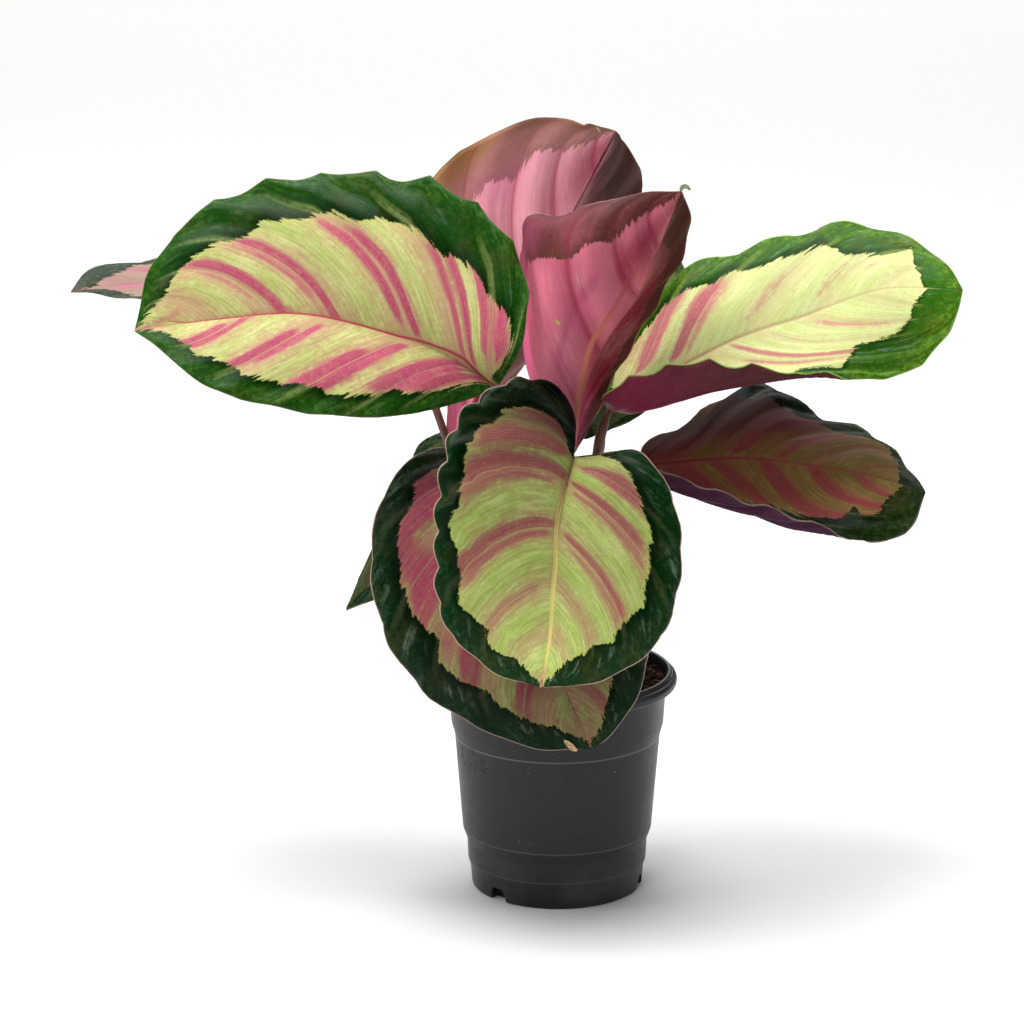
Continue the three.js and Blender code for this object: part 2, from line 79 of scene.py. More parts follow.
# Each leaf has its midrib from base to tip and its margins on either side, looking at the upper
# face with the tip away, in millimetres. A rolled half also has a line along its middle. foot is
# where its stem leaves the peat, and stem the places that the stem passes on its way up.
LEAVES = {
    "left_large": dict(PLAIN_LEAF,
        rib=[(-30, -16, 261), (-58, -18, 279), (-87, -20, 290), (-125, -23, 299), (-164, -26, 297),
             (-205, -30, 292)],
        right=[(-17, -27, 288), (-18, -16, 323), (-49, 4, 354), (-92, 14, 361), (-131, 14, 359),
               (-170, 8, 347), (-197, -10, 321)],
        left=[(-46, -28, 257), (-77, -46, 254), (-105, -56, 256), (-138, -60, 262), (-169, -56, 271),
              (-194, -40, 287)],
        bow=(0.08, 0.06), waves=8, wave_height=(1.1, 2), scallop=(0.006, 0.026), frills=(6, 12),
        foot=(-9, -7), stem=[(-13, -8, 170), (-23, -11, 235)], dusty=0.75, lean=(0.33, 0.46),
        lines=0.5, teeth=0.7, ridge_reflections=0.75, rib_width=1.25,
        veins=((-0.03, 0.085, 0.27, 0.49, 0.717), (-0.1, 0.1, 0.255, 0.485, 0.64, 0.8))),
    "front": dict(PLAIN_LEAF,
        rib=[(6, -44, 233), (1, -66, 210), (-3, -80, 181), (-5, -87, 154), (-9, -90, 131)],
        right=[(6, -34, 255), (-7, -36, 269), (-25, -48, 271), (-47, -66, 259), (-56, -80, 236),
               (-59, -88, 194), (-55, -92, 164), (-31, -92, 139)],
        left=[(21, -46, 235), (36, -54, 239), (48, -62, 230), (57, -70, 208), (57, -80, 179),
              (46, -86, 151), (19, -90, 134)],
        bow=0.06, waves=9, wave_height=(1.1, 1.7), scallop=(0.008, 0.026), frills=(9, 15), cusp=-1,
        foot=(2, -15), stem=[(4, -20, 170), (6, -32, 220)], dusty=0.8, lean=(0.5, 0.42), lines=0.45,
        rib_width=2.5, rib_end=0, teeth=0.5, ridge_reflections=0.2, painted_glints=0.5,
        veins=((-0.04, 0.12, 0.365, 0.56, 0.75), (-0.02, 0.14, 0.35, 0.57, 0.76))),
    "front_low": dict(PLAIN_LEAF,
        rib=[(-39, -20, 220), (-31, -44, 196), (-17, -60, 166), (-1, -70, 133), (16, -75, 95)],
        right=[(-58, -16, 231), (-79, -30, 221), (-90, -44, 197), (-90, -52, 168), (-82, -60, 143),
               (-63, -66, 119), (-38, -70, 104), (-12, -74, 95)],
        left=[(-21, -26, 234), (0, -40, 223), (22, -52, 199), (37, -62, 171), (43, -68, 143),
              (37, -72, 119), (24, -75, 101)],
        bow=0.06, waves=8, wave_height=(1.4, 1.2), scallop=(0.015, 0.012),
        foot=(-16, -15), stem=[(-24, -13, 160), (-35, -11, 206)], dusty=0.9, cusp=-1, lines=0.6,
        teeth=0.5, ridge_reflections=0.2, painted_glints=0.5,
        veins=((0.05, 0.25, 0.45, 0.6, 0.74), (-0.05, 0.14, 0.3, 0.47, 0.72))),
    "back_tall": dict(PLAIN_LEAF,
        rib=[(-52, 24, 213), (-40, 30, 246), (-28, 36, 274), (-9, 44, 307), (11, 49, 342), (29, 50, 376)],
        right=[(-55, 26, 229), (-56, 36, 250), (-67, 46, 296), (-65, 56, 349), (-43, 60, 367),
               (-16, 60, 380), (13, 54, 380)],
        left=[(-40, 40, 226), (-24, 64, 242), (2, 86, 272), (30, 98, 309), (44, 92, 338), (39, 74, 358)],
        waves=6, scallop=0.015, lean=(0.4, 0.45), foot=(-11, 8), stem=[(-18, 11, 160), (-42, 20, 200)],
        pleats=-1.7, arches=0.03, painted_side_light=0.08,
        stains=[(0.97, 0.64, 0.13, 0.09, (0.36, 0.2, 0.06), 0.7),
                (-0.75, 0.8, 0.55, 0.4, (0.085, 0.012, 0.006), 0.85)],
        spots=[(0.8, 0.955, 0.2, 0.0035, (0.75, 0.7, 0.6))],
        veins=((0.05, 0.25, 0.45, 0.65, 0.83), (0.05, 0.27, 0.478, 0.669, 0.87)),
        tears=((1, 0.925, 0.12, 0.011), (1, 0.965, 0.05, 0.012), (-1, 0.965, 0.07, 0.014))),
    "centre_furled": dict(PLAIN_LEAF,
        rib=[(7, 0, 223), (9, -8, 250), (20, -14, 279), (39, -16, 310), (50, -14, 336), (59, -10, 357)],
        right=[(-6, 14, 235), (-15, 24, 260), (-16, 28, 295), (-17, 14, 337), (5, -8, 346), (35, -14, 356)],
        right_middle=[(-3, -12, 249), (-6, -24, 284), (3, -32, 322), (24, -26, 343)],
        left=[(15, 4, 234), (27, 8, 259), (49, 14, 297), (62, 14, 323), (64, 4, 343)],
        bow=0.1, waves=6, wave_height=1.4, scallop=0.012, lean=(0.4, 0.45), rib_width=2.8,
        pleats=-1.9, arches=0.04, painted_side_light=0.12,
        stains=[(-0.75, 0.85, 0.5, 0.3, (0.09, 0.025, 0.018), 0.5)],
        spots=[(0.42, 0.46, 0.035, 0.009, (0.42, 0.4, 0.12))],
        veins=((-0.1, 0.35, 0.75), (-0.6, 0.405, 0.625, 0.8)),
        foot=(0, 0), stem=[(1, 1, 150), (5, 2, 205)]),
    "right_high": dict(PLAIN_LEAF,
        rib=[(25, 6, 244), (40, 8, 256), (62, 8, 267), (89, 6, 281), (120, 0, 293), (158, -8, 308),
             (196, -14, 309)],
        left=[(26, 28, 258), (41, 44, 286), (61, 48, 305), (91, 44, 317), (120, 38, 327), (144, 32, 333),
              (170, 18, 329), (188, 0, 320)],
        right=[(22, -12, 256), (39, -26, 270), (68, -32, 278), (97, -34, 275), (126, -32, 271),
               (150, -30, 268), (169, -28, 271), (184, -24, 283), (193, -18, 297)],
        right_middle=[(40, -14, 248), (69, -20, 258), (100, -22, 266), (127, -22, 275), (156, -20, 288)],
        waves=7, wave_height=1.8, scallop=(0.015, 0.03), frills=(7, 11), lean=(0.36, 0.65),
        foot=(11, -5), stem=[(12, -4, 170), (20, 0, 228)], dusty=0.35, lines=0.15, teeth=0.55, ridge_reflections=0.5,
        painted_glints=0.7, rib_end=0,
        veins=((-0.08, 0.05, 0.205, 0.43, 0.64, 0.8), (-0.05, 0.12, 0.295, 0.45, 0.58, 0.75))),
    "right_low": dict(PLAIN_LEAF,
        rib=[(43, 10, 215), (70, 6, 219), (95, 2, 221), (119, -2, 219), (149, -10, 216), (180, -20, 209)],
        left=[(42, 22, 221), (67, 38, 231), (87, 48, 243), (110, 50, 246), (128, 44, 234), (159, 26, 226),
              (172, 4, 217)],
        right=[(47, 2, 216), (69, -20, 213), (93, -30, 207), (113, -36, 202), (137, -38, 193),
               (154, -38, 188), (172, -32, 194)],
        right_middle=[(53, -4, 208), (70, -12, 204), (94, -20, 200), (118, -26, 195), (147, -28, 202)],
        waves=7, wave_height=1.8, scallop=0.025, lean=(0.36, 0.6),
        foot=(15, 6), stem=[(20, 8, 150), (36, 11, 196)], arches=0.03, teeth=0.6, painted_glints=0.1, rib_end=0,
        veins=((-0.1, 0.08, 0.24, 0.42, 0.6, 0.78), (-0.1, 0.15, 0.3, 0.47, 0.62, 0.78))),
    "far_left": dict(PLAIN_LEAF,
        rib=[(-74, 46, 262), (-110, 62, 276), (-156, 70, 288), (-201, 68, 295), (-245, 58, 293)],
        right=[(-70, 62, 262), (-111, 94, 284), (-158, 104, 299), (-203, 100, 301), (-238, 80, 299)],
        left=[(-82, 30, 254), (-113, 24, 263), (-153, 24, 282), (-196, 34, 291), (-227, 46, 294)],
        bow=0.06, waves=6, foot=(-20, -1), stem=[(-33, 1, 170), (-54, 14, 224), (-68, 40, 255)]),
    "back": dict(PLAIN_LEAF,
        rib=[(24, 62, 219), (34, 84, 241), (46, 106, 268), (56, 124, 288), (62, 136, 301)],
        right=[(45, 70, 228), (62, 88, 251), (69, 106, 272), (67, 124, 290)],
        left=[(12, 65, 215), (5, 80, 232), (12, 112, 267), (36, 130, 294)],
        waves=5, foot=(4, 14), stem=[(8, 30, 150), (18, 47, 200), (21, 52, 210)]),
    "back_low": dict(PLAIN_LEAF,
        rib=[(-44, 44, 220), (-61, 48, 203), (-80, 50, 180), (-96, 44, 154), (-107, 30, 134)],
        right=[(-55, 52, 223), (-67, 60, 215), (-79, 66, 197), (-89, 64, 174), (-94, 56, 158),
               (-101, 42, 145)],
        left=[(-45, 36, 206), (-59, 24, 183), (-75, 20, 161), (-91, 22, 143)],
        waves=5, wave_height=1.4, foot=(-20, 14), stem=[(-28, 34, 150), (-37, 52, 204)]),
}

# Where the pale middle of a leaf ends, as its share of each half's width, at places along the leaf.
PLAIN_EDGE = [(0, 0.4), (0.12, 0.6), (0.3, 0.72), (0.6, 0.72), (0.8, 0.6), (0.92, 0.4), (1, 0.1)]
EDGES = {
    "left_large": (
        [(0, .2), (.05, .35), (.1, .58), (.15, .67), (.2, .72), (.27, .74), (.3, .69), (.35, .77), (.45, .81),
         (.5, .75), (.6, .77), (.67, .76), (.7, .68), (.75, .65), (.81, .68), (.83, .56), (.88, .5), (.9, .4),
         (.94, .3), (.97, .12), (1, 0)],
        [(0, .1), (.04, .3), (.06, .6), (.1, .8), (.15, .76), (.2, .65), (.3, .66), (.33, .6), (.4, .67),
         (.47, .7), (.5, .63), (.55, .72), (.6, .65), (.67, .68), (.7, .6), (.8, .63), (.85, .6), (.87, .53),
         (.9, .45), (.95, .48), (1, .42)]),
    "front": (
        [(0, .6), (.08, .85), (.13, .72), (.2, .72), (.3, .72), (.4, .75), (.5, .74), (.6, .74), (.63, .68),
         (.7, .6), (.72, .65), (.75, .5), (.8, .45), (.85, .33), (.9, .32), (.95, .33), (1, .28)],
        [(0, .3), (.1, .3), (.13, .35), (.17, .6), (.2, .68), (.25, .78), (.3, .82), (.4, .86), (.5, .83),
         (.55, .87), (.6, .88), (.62, .8), (.7, .8), (.73, .82), (.75, .7), (.78, .6), (.8, .66), (.84, .66),
         (.87, .45), (.9, .4), (.95, .33), (1, .15)]),
    "front_low": (
        [(0, .4), (.2, .65), (.6, .68), (.78, .6), (.83, .55), (.87, .5), (.9, .55), (.93, .5), (.95, .4),
         (.97, .15), (1, 0)],
        [(0, .4), (.12, .65), (.15, .72), (.2, .78), (.25, .75), (.3, .8), (.45, .78), (.5, .75), (.52, .7),
         (.55, .66), (.6, .75), (.65, .7), (.7, .6), (.75, .62), (.8, .58), (.85, .5), (.87, .38), (.9, .38),
         (.95, .2), (1, 0)]),
    "back_tall": (
        [(0, .4), (.3, .6), (.7, .55), (.85, .5), (.9, .4), (1, .2)],
        [(0, .4), (.1, .55), (.3, .65), (.6, .65), (.66, .67), (.7, .58), (.78, .65), (.81, .58), (.84, .5),
         (.9, .45), (.95, .4), (1, .3)]),
    "centre_furled": (
        [(0, .5), (.3, .8), (.6, .8), (.7, .75), (.75, .6), (.8, .3), (.84, .05), (1, 0)],
        [(0, .5), (.1, .7), (.3, .98), (.4, .95), (.5, .83), (.56, .78), (.6, .66), (.63, .55), (.66, .5),
         (.7, .48), (.73, .38), (.8, .35), (.9, .38), (.93, .3), (1, .2)]),
    "right_high": (
        [(0, .5), (.1, .8), (.15, .75), (.25, .68), (.3, .72), (.35, .73), (.4, .63), (.45, .72), (.5, .68),
         (.6, .68), (.65, .75), (.68, .6), (.7, .5), (.75, .5), (.8, .55), (.83, .7), (.845, .85), (.855, .5),
         (.88, .3), (.905, -.1), (1, -.5)],
        [(0, .5), (.3, .6), (.5, .55), (.55, .5), (.6, .6), (.65, .7), (.7, .48), (.75, .53), (.8, .57),
         (.85, .5), (.87, .3), (.9, .15), (.915, -.1), (1, -.5)]),
    "right_low": (
        [(0, 1.1), (.28, 1.1), (.33, .92), (.4, .74), (.5, .66), (.6, .7), (.7, .7), (.75, .75), (.8, .85),
         (.85, .75), (.88, .4), (.905, -.05), (1, -.5)],
        [(0, .5), (.5, .36), (.55, .36), (.6, .4), (.65, .45), (.7, .52), (.74, .5), (.76, .4), (.78, .6),
         (.83, .62), (.87, .4), (.9, .3), (.925, -.05), (1, -.5)]),
    "far_left": (
        [(0, .5), (.5, .7), (.8, .85), (.85, .75), (.9, .6), (.95, .3), (1, 0)],
        [(0, .5), (.5, .7), (.8, .65), (.83, .5), (.87, .35), (.9, .3), (.92, .15), (1, 0)]),
}

# Rose streaks along the side veins: side, where the vein leaves the midrib, spread, strength, and
# the shares of the half's width where the streak starts and ends.
L, R = -1, 1
PLAIN_STREAKS = [
    (L, .7, .014, .7, .05, .6), (L, .735, .012, .6, .1, .6), (L, .46, .014, .8, .05, .7),
    (L, .495, .012, .7, .1, .7), (L, .24, .014, .9, .05, .75), (L, .28, .012, .7, .1, .8),
    (L, .06, .02, .8, .1, .8), (R, .62, .014, .7, .05, .6), (R, .655, .012, .6, .1, .6),
    (R, .4, .014, .8, .05, .7), (R, .44, .012, .7, .1, .7), (R, .18, .014, .9, .05, .75),
    (R, .22, .012, .7, .1, .8), (R, .0, .02, .8, .1, .8),
]
STREAKS = {
    "left_large": [
        (R, .605, .014, .95, .03, .6), (R, .65, .010, .5, .1, .45), (R, .47, .012, .95, .0, .6),
        (R, .50, .012, .55, .1, .6), (R, .235, .011, .95, .05, .6), (R, .275, .011, .9, .1, .65),
        (R, .03, .010, .9, .12, .68), (R, .075, .010, .8, .1, .65), (R, -.055, .014, .85, .35, .9),
        (R, -.10, .010, .6, .4, .9), (R, -.15, .02, .7, .5, .98), (L, .70, .012, .95, .02, .6),
        (L, .735, .014, .95, .1, .65),
        (L, .475, .011, .85, .1, .6), (L, .51, .012, .9, .2, .7), (L, .25, .014, .98, .1, .85),
        (L, .295, .012, .9, .3, .9), (L, .11, .02, .9, .0, .7), (L, .06, .012, .7, .1, .8),
        (L, .0, .02, .85, .0, .7),
    ],
    "front": [
        (R, .57, .018, .55, .1, .65), (R, .33, .014, .95, .06, .85), (R, .37, .012, .75, .1, .8),
        (R, .12, .02, .95, .1, .85), (R, .165, .012, .65, .2, .85), (R, .03, .025, .85, .3, .85),
        (R, -.06, .02, .7, .3, .8), (L, .56, .025, .4, .05, .5), (L, .345, .012, .9, .05, .62),
        (L, .385, .012, .6, .1, .65), (L, .10, .014, .95, .1, .7), (L, .145, .012, .7, .1, .72),
        (L, -.04, .02, .85, .3, .75),
    ],
    "right_high": [
        (L, .185, .016, .95, .1, .65), (L, .225, .012, .5, .1, .6), (L, .05, .02, .75, .25, .8),
        (L, .395, .014, .5, .1, .5), (L, .585, .014, .45, .1, .4), (L, .675, .012, .45, .3, .4),
        (R, .355, .012, .75, .02, .6), (R, .30, .012, .6, .15, .6), (R, .57, .016, .55, .05, .45),
    ],
    "right_low": [
        (R, .10, .04, .9, .0, .9), (R, .25, .03, .9, .0, .9), (R, .42, .035, .98, .02, .85),
        (R, .595, .03, .95, .0, .7), (R, .76, .03, .8, .0, .5), (L, .07, .02, .95, .05, .85),
        (L, .31, .022, .8, .05, .8), (L, .47, .014, .55, .0, .6),
    ],
}

# Dry scraps at leaf tips: colour, half width, and the line that the scrap curls along.
SCRAPS = {
    "dry_tip_front_low": (
        "dcb88c", 0.95, [(2.6, -76, 99.6), (4.5, -77.6, 98.4), (6.6, -77.4, 96.2), (8.6, -76.2, 94.4)]),
    "dry_tip_centre_furled": (
        "a0b088", 0.75, [(58.6, -10.2, 356.8), (59.6, -12, 359.2), (61.4, -13, 359.6), (63.2, -12.8, 358)]),
}
SCRAP_THICKNESS = 0.25

# How far the painted midrib runs to one side of the blade's middle, at places along the leaf.
RIB_SHIFTS = {
    "left_large": [(0, .02), (.05, .06), (.12, .1), (.2, .04), (.3, 0), (.86, 0), (.93, .12), (1, 0)],
    "front": [(0, .04), (.12, .06), (.3, .05), (.5, 0), (1, 0)],
    "centre_furled": [(0, 0), (.14, .01), (.2, .02), (.26, .04), (.32, .065), (.38, .085), (.44, .095),
                      (.52, .096), (.7, .088), (.9, .08), (1, 0)],
}

# Painted shade and light on a leaf, darker where it lies in shade and lighter where light falls: place across, place
# along, size across, size along, amount.
PAINTED_SHADE_AND_LIGHT = {
    "left_large": [(.55, .14, .5, .14, .24), (-.2, .3, .6, .3, .05)],
    "front": [(.85, -.0, .5, .22, -.72), (.65, .2, .45, .26, -.42), (-.7, .2, .5, .26, -.2), (.35, .04, .2, .1, -.3),
              (0, .98, .8, .3, .62), (.95, .1, .15, .3, -.3), (.6, .55, .6, .2, -.1)],
    "front_low": [(.8, .15, .6, .15, -.35), (0, .82, 1.5, .25, -.5), (.9, .55, .3, .3, -.15)],
    "back_tall": [(.55, .72, .25, .14, .22), (.1, .97, .35, .22, -.22), (-.65, .75, .6, .6, -.55),
                  (.95, .62, .3, .2, .4), (.9, .9, .4, .12, -.1), (.1, .08, 1.5, .14, .6)],
    "centre_furled": [(-.7, .85, .55, .3, -.55), (.55, .35, .16, .2, .2), (.85, .85, .4, .15, -.3),
                      (.88, .38, .16, .2, .8), (.8, .6, .12, .08, -.3), (.66, .46, .1, .14, .3),
                      (.1, .2, .5, .16, -.2), (-.4, .35, .4, .3, .25)],
    "right_high": [(-.95, .4, .3, .3, -.1), (.2, .95, 1, .08, .25)],
    "right_low": [(-.7, .15, .6, .35, -.6), (-.6, .5, .45, .25, -.5), (.3, .6, .5, .3, .15),
                  (-.95, .45, .25, .3, -.2), (.15, .92, .6, .1, .3)],
    "back": [(0, .2, 2, .4, -.6)],
    "back_low": [(0, .8, 2, .3, -.2)],
}

# Bright magenta parts of an underside: place across, place along, size across, size along, strength.
GLOWS = {
    "back_tall": [(0, .02, 1.5, .14, 1), (.6, .66, .16, .1, .3)],
    "centre_furled": [(.93, .3, .12, .26, 1), (.5, .1, .5, .1, .5), (0, .02, 1, .07, 1), (.3, .5, .08, .1, .35)],
    "right_high": [(0, .1, 2, .2, .6)],
}

# Broad rosy patches: place across, place along, size across, size along, strength.
BLUSHES = {
    "left_large": [(-.55, .24, .2, .07, .55), (-.25, .15, .14, .03, .7), (.68, .11, .14, .05, .7),
                   (-.3, .06, .3, .02, .5), (.02, .6, .05, .25, .45), (.14, .9, .08, .05, .6),
                   (-.62, .42, .12, .06, .35), (-.55, .12, .2, .06, .45), (.4, .86, .2, .05, .3),
                   (-.4, .4, .5, .3, .3)],
    "front": [(.5, .16, .22, .04, .15), (-.6, .24, .14, .06, .5), (.08, .08, .14, .06, .6),
              (.3, .06, .3, .03, .3), (.2, -.02, .3, .05, .4),
              (.05, .3, .04, .2, .4), (.2, .4, .3, .06, .2), (-.1, .78, .06, .05, .4)],
    "front_low": [(.68, .2, .25, .08, 1), (.66, .38, .25, .06, 1), (.62, .56, .14, .04, .6),
                  (.3, .3, .4, .2, .5), (-.28, .9, .12, .06, .5), (-.03, .84, .09, .07, .5),
                  (.3, .86, .12, .06, .4), (-.25, .96, .3, .02, .6), (.2, .75, .15, .05, .4)],
    "back_tall": [(-.3, .85, .3, .12, 1), (.1, .92, .4, .3, .72), (-.3, .6, .3, .15, .8),
                  (.2, .62, .08, .04, .4), (.45, .3, .1, .3, .4), (0, .05, 1.5, .16, 1)],
    "centre_furled": [(-.5, .4, .6, .5, .9), (.12, .78, .16, .18, .8), (.3, .6, .06, .06, .5),
                      (.1, .3, .1, .06, .3), (0, .02, 1.5, .1, .9), (.33, .45, .05, .12, .5)],
    "right_high": [(-.5, .34, .2, .05, .35), (-.55, .18, .4, .08, .55), (-.2, .06, .6, .07, .5)],
    "right_low": [(-.55, .1, .5, .2, .9), (-.6, .36, .5, .3, .85), (-.3, .65, .3, .1, .3), (0, .1, 1, .1, .9)],
    "far_left": [(-.2, .84, .3, .06, .8), (.3, .86, .2, .05, .5), (0, .4, .6, .2, .5)],
}

# What each colour of a leaf is for, and each leaf's colours in the same order.
COLOUR_WORDS = {
    "pale": "pale tone of the leaf's middle", "lime": "greener tone of the leaf's middle",
    "rose": "streaks along the side veins", "margin": "dark band round the upper face",
    "sheen": "lighter tone in that band", "rim": "thin line at the leaf's edge",
    "rib": "midrib on the upper face", "under": "middle of the underside",
    "under_rose": "deeper tone in the middle of the underside",
    "under_margin": "band round the underside", "under_rib": "midrib on the underside",
    "under_glow": "brightest parts of the underside", "under_edge": "underside next to its edge",
}
LEAF_COLOURS = {
    "left_large": ("d2cf8e", "b2c468", "bc3c6c", "0e3c06", "4c8424", "5c6a3c", "cc4c60", "c77f92",
                   "9c4664", "6e4440", "a8623c", "b05a80", "6e5040"),
    "front": ("bcc47c", "98b450", "a04c58", "082808", "24502c", "cfae9c", "dccc7c", "b8718a",
              "8a3c58", "6a4244", "a8623c", "b05a80", "6e5040"),
    "front_low": ("b0b074", "869648", "a23a5a", "062408", "245030", "cfaea2", "a86858", "b8718a",
                  "8a3c58", "6a4244", "a8623c", "b05a80", "6e5040"),
    "back_tall": ("c8cf80", "a8b860", "bc5674", "1c4a22", "3f7a43", "6c5238", "a86060", "f6acb8",
                  "a4284c", "a8766c", "8c3c48", "dc68a8", "96684c"),
    "centre_furled": ("c8cf80", "a8b860", "bc5674", "1c4a22", "3f7a43", "c09488", "a86060", "cc6c80",
                      "8c1c3c", "62322e", "c0745c", "cc5c8c", "5c3830"),
    "right_high": ("e4e8a8", "d4e48c", "cc6478", "245c06", "90bc38", "8cb454", "d8c890", "522a30",
                   "6c2434", "50282c", "8a3444", "9c1c50", "4c2428"),
    # right_low's colours are its own dark tones, further darkened as painted shade for the shadow of right_high over
    # it.
    "right_low": ("907044", "5c6020", "8c3a40", "0a1e06", "405a28", "8c7a68", "8c4440", "643454",
                  "6a2440", "42263a", "7a3040", "683468", "42263a"),
    "far_left": ("a88880", "948870", "b46c7c", "1c2c1c", "5c6c58", "5c5444", "a88078", "8c5c68",
                 "743850", "4c3a38", "8c5c48", "8c4c60", "4c3a38"),
    "back": ("5c7c38", "46682c", "6c4c34", "16380c", "3c6424", "5d6a3c", "98a058", "5a2830",
             "60203a", "36241c", "6a3c30", "5c2838", "3c3020"),
    "back_low": ("4c6c3c", "3c5c30", "5c4434", "102c12", "3c6c44", "8c7c64", "8c9c58", "622c3c",
                 "60243c", "442c2c", "6a4034", "6a2c40", "443028"),
}

# Colours that are mixed into those, as linear red, green and blue.
YELLOW_FRINGE = (0.75, 0.7, 0.2)
BROWN_LINE = (0.08, 0.05, 0.01)
BROWN_SPECK = (0.1, 0.08, 0.02)
DUSKY_BROWN = (0.055, 0.045, 0.01)
NEAR_BLACK = (0, 0.004, 0)
BLACK_GREEN = (0, 0.004, 0.001)
# Painted reflection along the ridges of the side veins in the dark band.
RIDGE_REFLECTION = (0.38, 0.33, 0.16)
# Painted glints between the side veins in the dark band.
PAINTED_GLINT = (0.2, 0.28, 0.22)
RED_BASE = (0.16, 0.012, 0.012)
RED_CORE = (0.1, 0.01, 0.01)
BLOOM = (1, 0.82, 0.86)
PALE_SPECK = (1, 0.9, 0.85)
DULL_BROWN = (0.03, 0.025, 0.008)
DULL_PLASTIC = (0.01, 0.011, 0.012)
STAINED_PLASTIC = (0.012, 0.013, 0.014)
SCUFFED_PLASTIC = (0.001, 0.001, 0.001)
# Colour of the painted highlight at the pot rim's inner edge.
PAINTED_RIM_HIGHLIGHT = (1, 0.96, 0.9)
ORANGE_BARK = (0.3, 0.09, 0.02)

# Pot: radii and heights of its sections, in millimetres, as its solid has them.
POT_HEIGHT = 113
POT_OUTSIDE = [(42, 0), (43, 1), (43.9, 11), (45, 14), (45.4, 24.5), (47.6, 30.5), (51.6, 80),
               (53.3, 86), (54.5, 104.4)]
POT_FOOT_SECTIONS = 4
POT_RIM_RADIUS = 60
RIM_SECTION = [(1.3, 8), (0.2, 6.6), (0, 4.4), (0.8, 2.6), (2, 2.2), (2.6, 0.7), (3.5, 0), (4.7, 0.4),
               (5.4, 2.2)]
POT_ROUNDING = 0.35
POT_FACES_ROUND = 144
SHARP_ANGLE = 0.45

# Drain notches: they are wider at the foot than at the top, and start a little below the pot.
NOTCH_ANGLES = (-44, 76, 196)
NOTCH_FOOT_HALF, NOTCH_FOOT = 6.25, -2
NOTCH_TOP_HALF, NOTCH_HEIGHT = 3.6, 7
NOTCH_FROM_AXIS, NOTCH_HALF_DEPTH = 42, 5

# Painted highlights: thin light lines round the pot where the kinks of its profile catch the light, as height and
# strength. The scuffed patch: place along and up, and sizes.
PAINTED_EDGE_HIGHLIGHTS = ((79.7, 0.55), (30.4, 0.3), (14.2, 0.2))
# Radius of the painted highlight round the rim's inner edge, in millimetres.
RIM_HIGHLIGHT_RADIUS = 56.1
SCUFF_PLACE, SCUFF_SIZE = (-44, 73.5), (9, 6)

SOIL_TOP = 109
SOIL_DROP = 1
SOIL_RADIUS = 53.5
SOIL_CLEARANCE = 0.35
SOIL_RINGS = 64
SOIL_FACES_ROUND = 160
SOIL_FOOT = [(0, 3), (40, 3)]

# Stems: millimetres below the peat and straight above it, and shares of the stem's length.
STEM_BURIED = 24
STEM_STRAIGHT = 3
STEM_STEPS = 64
STEM_SIDES = 20
FOOT_LENGTH = 0.45
KNEE_PLACE, KNEE_SPREAD = 0.9, 0.06
STEM_NARROWS = 0.93

# Side veins: the usual gap between two on the midrib, as a share of its length, how many stand
# below the first, and millimetres of midrib for each thin vein.
VEIN_GAP = 0.2
VEINS_BELOW = 5
THIN_VEIN_GAP = 3.1

# Parts that a smooth line is measured in.
LINE_DIVISIONS = 120

CAMERA_PLACE = (-22.8, -1931.9, 711.3)
CAMERA_AIM = (-22.8, 0, 193.7)
CAMERA_LENS = 141.75
CAMERA_SENSOR = 36

# Lamps, in metres: place, aim, size, the setting of its power, and its share of that power.
MIDDLE = (-0.02, 0, 0.2)
LAMPS = {
    "top": ((-0.3, 0.1, 2.2), (-0.1, 0.05, 0), (1.7, 1.4), "top", 1),
    "front": ((-0.9, -2.3, 1.7), MIDDLE, (1.2, 0.8), "front", 1),
    "left": ((-1.8, -0.4, 0.8), MIDDLE, (0.9, 1.4), "side", 1.3),
    "right": ((1.8, -0.4, 0.8), MIDDLE, (0.9, 1.4), "side", 0.7),
    "backdrop": ((0, 4.2, 3.0), (0, 4.2, 0), (7, 3.5), "backdrop", 1),
}


def linear(code):
    """A colour written as six hexadecimal digits, as linear red, green and blue."""
    parts = [int(code[i:i + 2], 16) / 255 for i in (0, 2, 4)]
    return tuple(c / 12.92 if c <= 0.04045 else ((c + 0.055) / 1.055) ** 2.4 for c in parts)


def length(name, description, millimetres):
    return FloatProperty(name=name, description=description, default=millimetres * MM, min=0,
                         subtype="DISTANCE", unit="LENGTH", precision=5)


def power(name, description, watts):
    return FloatProperty(name=name, description=description, default=watts, min=0, unit="POWER")


def share(name, description, value):
    return FloatProperty(name=name, description=description, default=value, min=0, max=1, subtype="FACTOR")


def colour(name, description, code):
    return FloatVectorProperty(name=name, description=description, default=linear(code), size=3,
                               min=0, max=1, subtype="COLOR")


class CALATHEA_PG_leaves(PropertyGroup):
    thickness: length("Blade thickness", "Thickness of a leaf away from its midrib", 0.6)
    rib_depth: length("Midrib depth", "How far the midrib stands out under the leaf", 1.2)
    rib_width: length("Midrib width", "Half the width of the midrib at the base", 1.1)
    swell: length("Swell between veins", "How far the blade swells between its side veins", 0.45)
    ripple: length("Margin ripple", "Height of the small ripples at the margin", 0.45)
    columns: IntProperty(name="Faces across", description="Faces across a leaf", default=96, min=8)
    rows_per_wave: IntProperty(name="Faces per wave", description="Faces along each wave", default=18, min=4)
    gloss: share("Upper roughness", "Roughness of the upper face", 0.32)


class CALATHEA_PG_leaf_colours(PropertyGroup):
    __annotations__ = {
        f"{leaf}_{part}": colour(f"{leaf} {part}".replace("_", " "), COLOUR_WORDS[part].capitalize(), code)
        for leaf, codes in LEAF_COLOURS.items() for part, code in zip(COLOUR_WORDS, codes)
    }


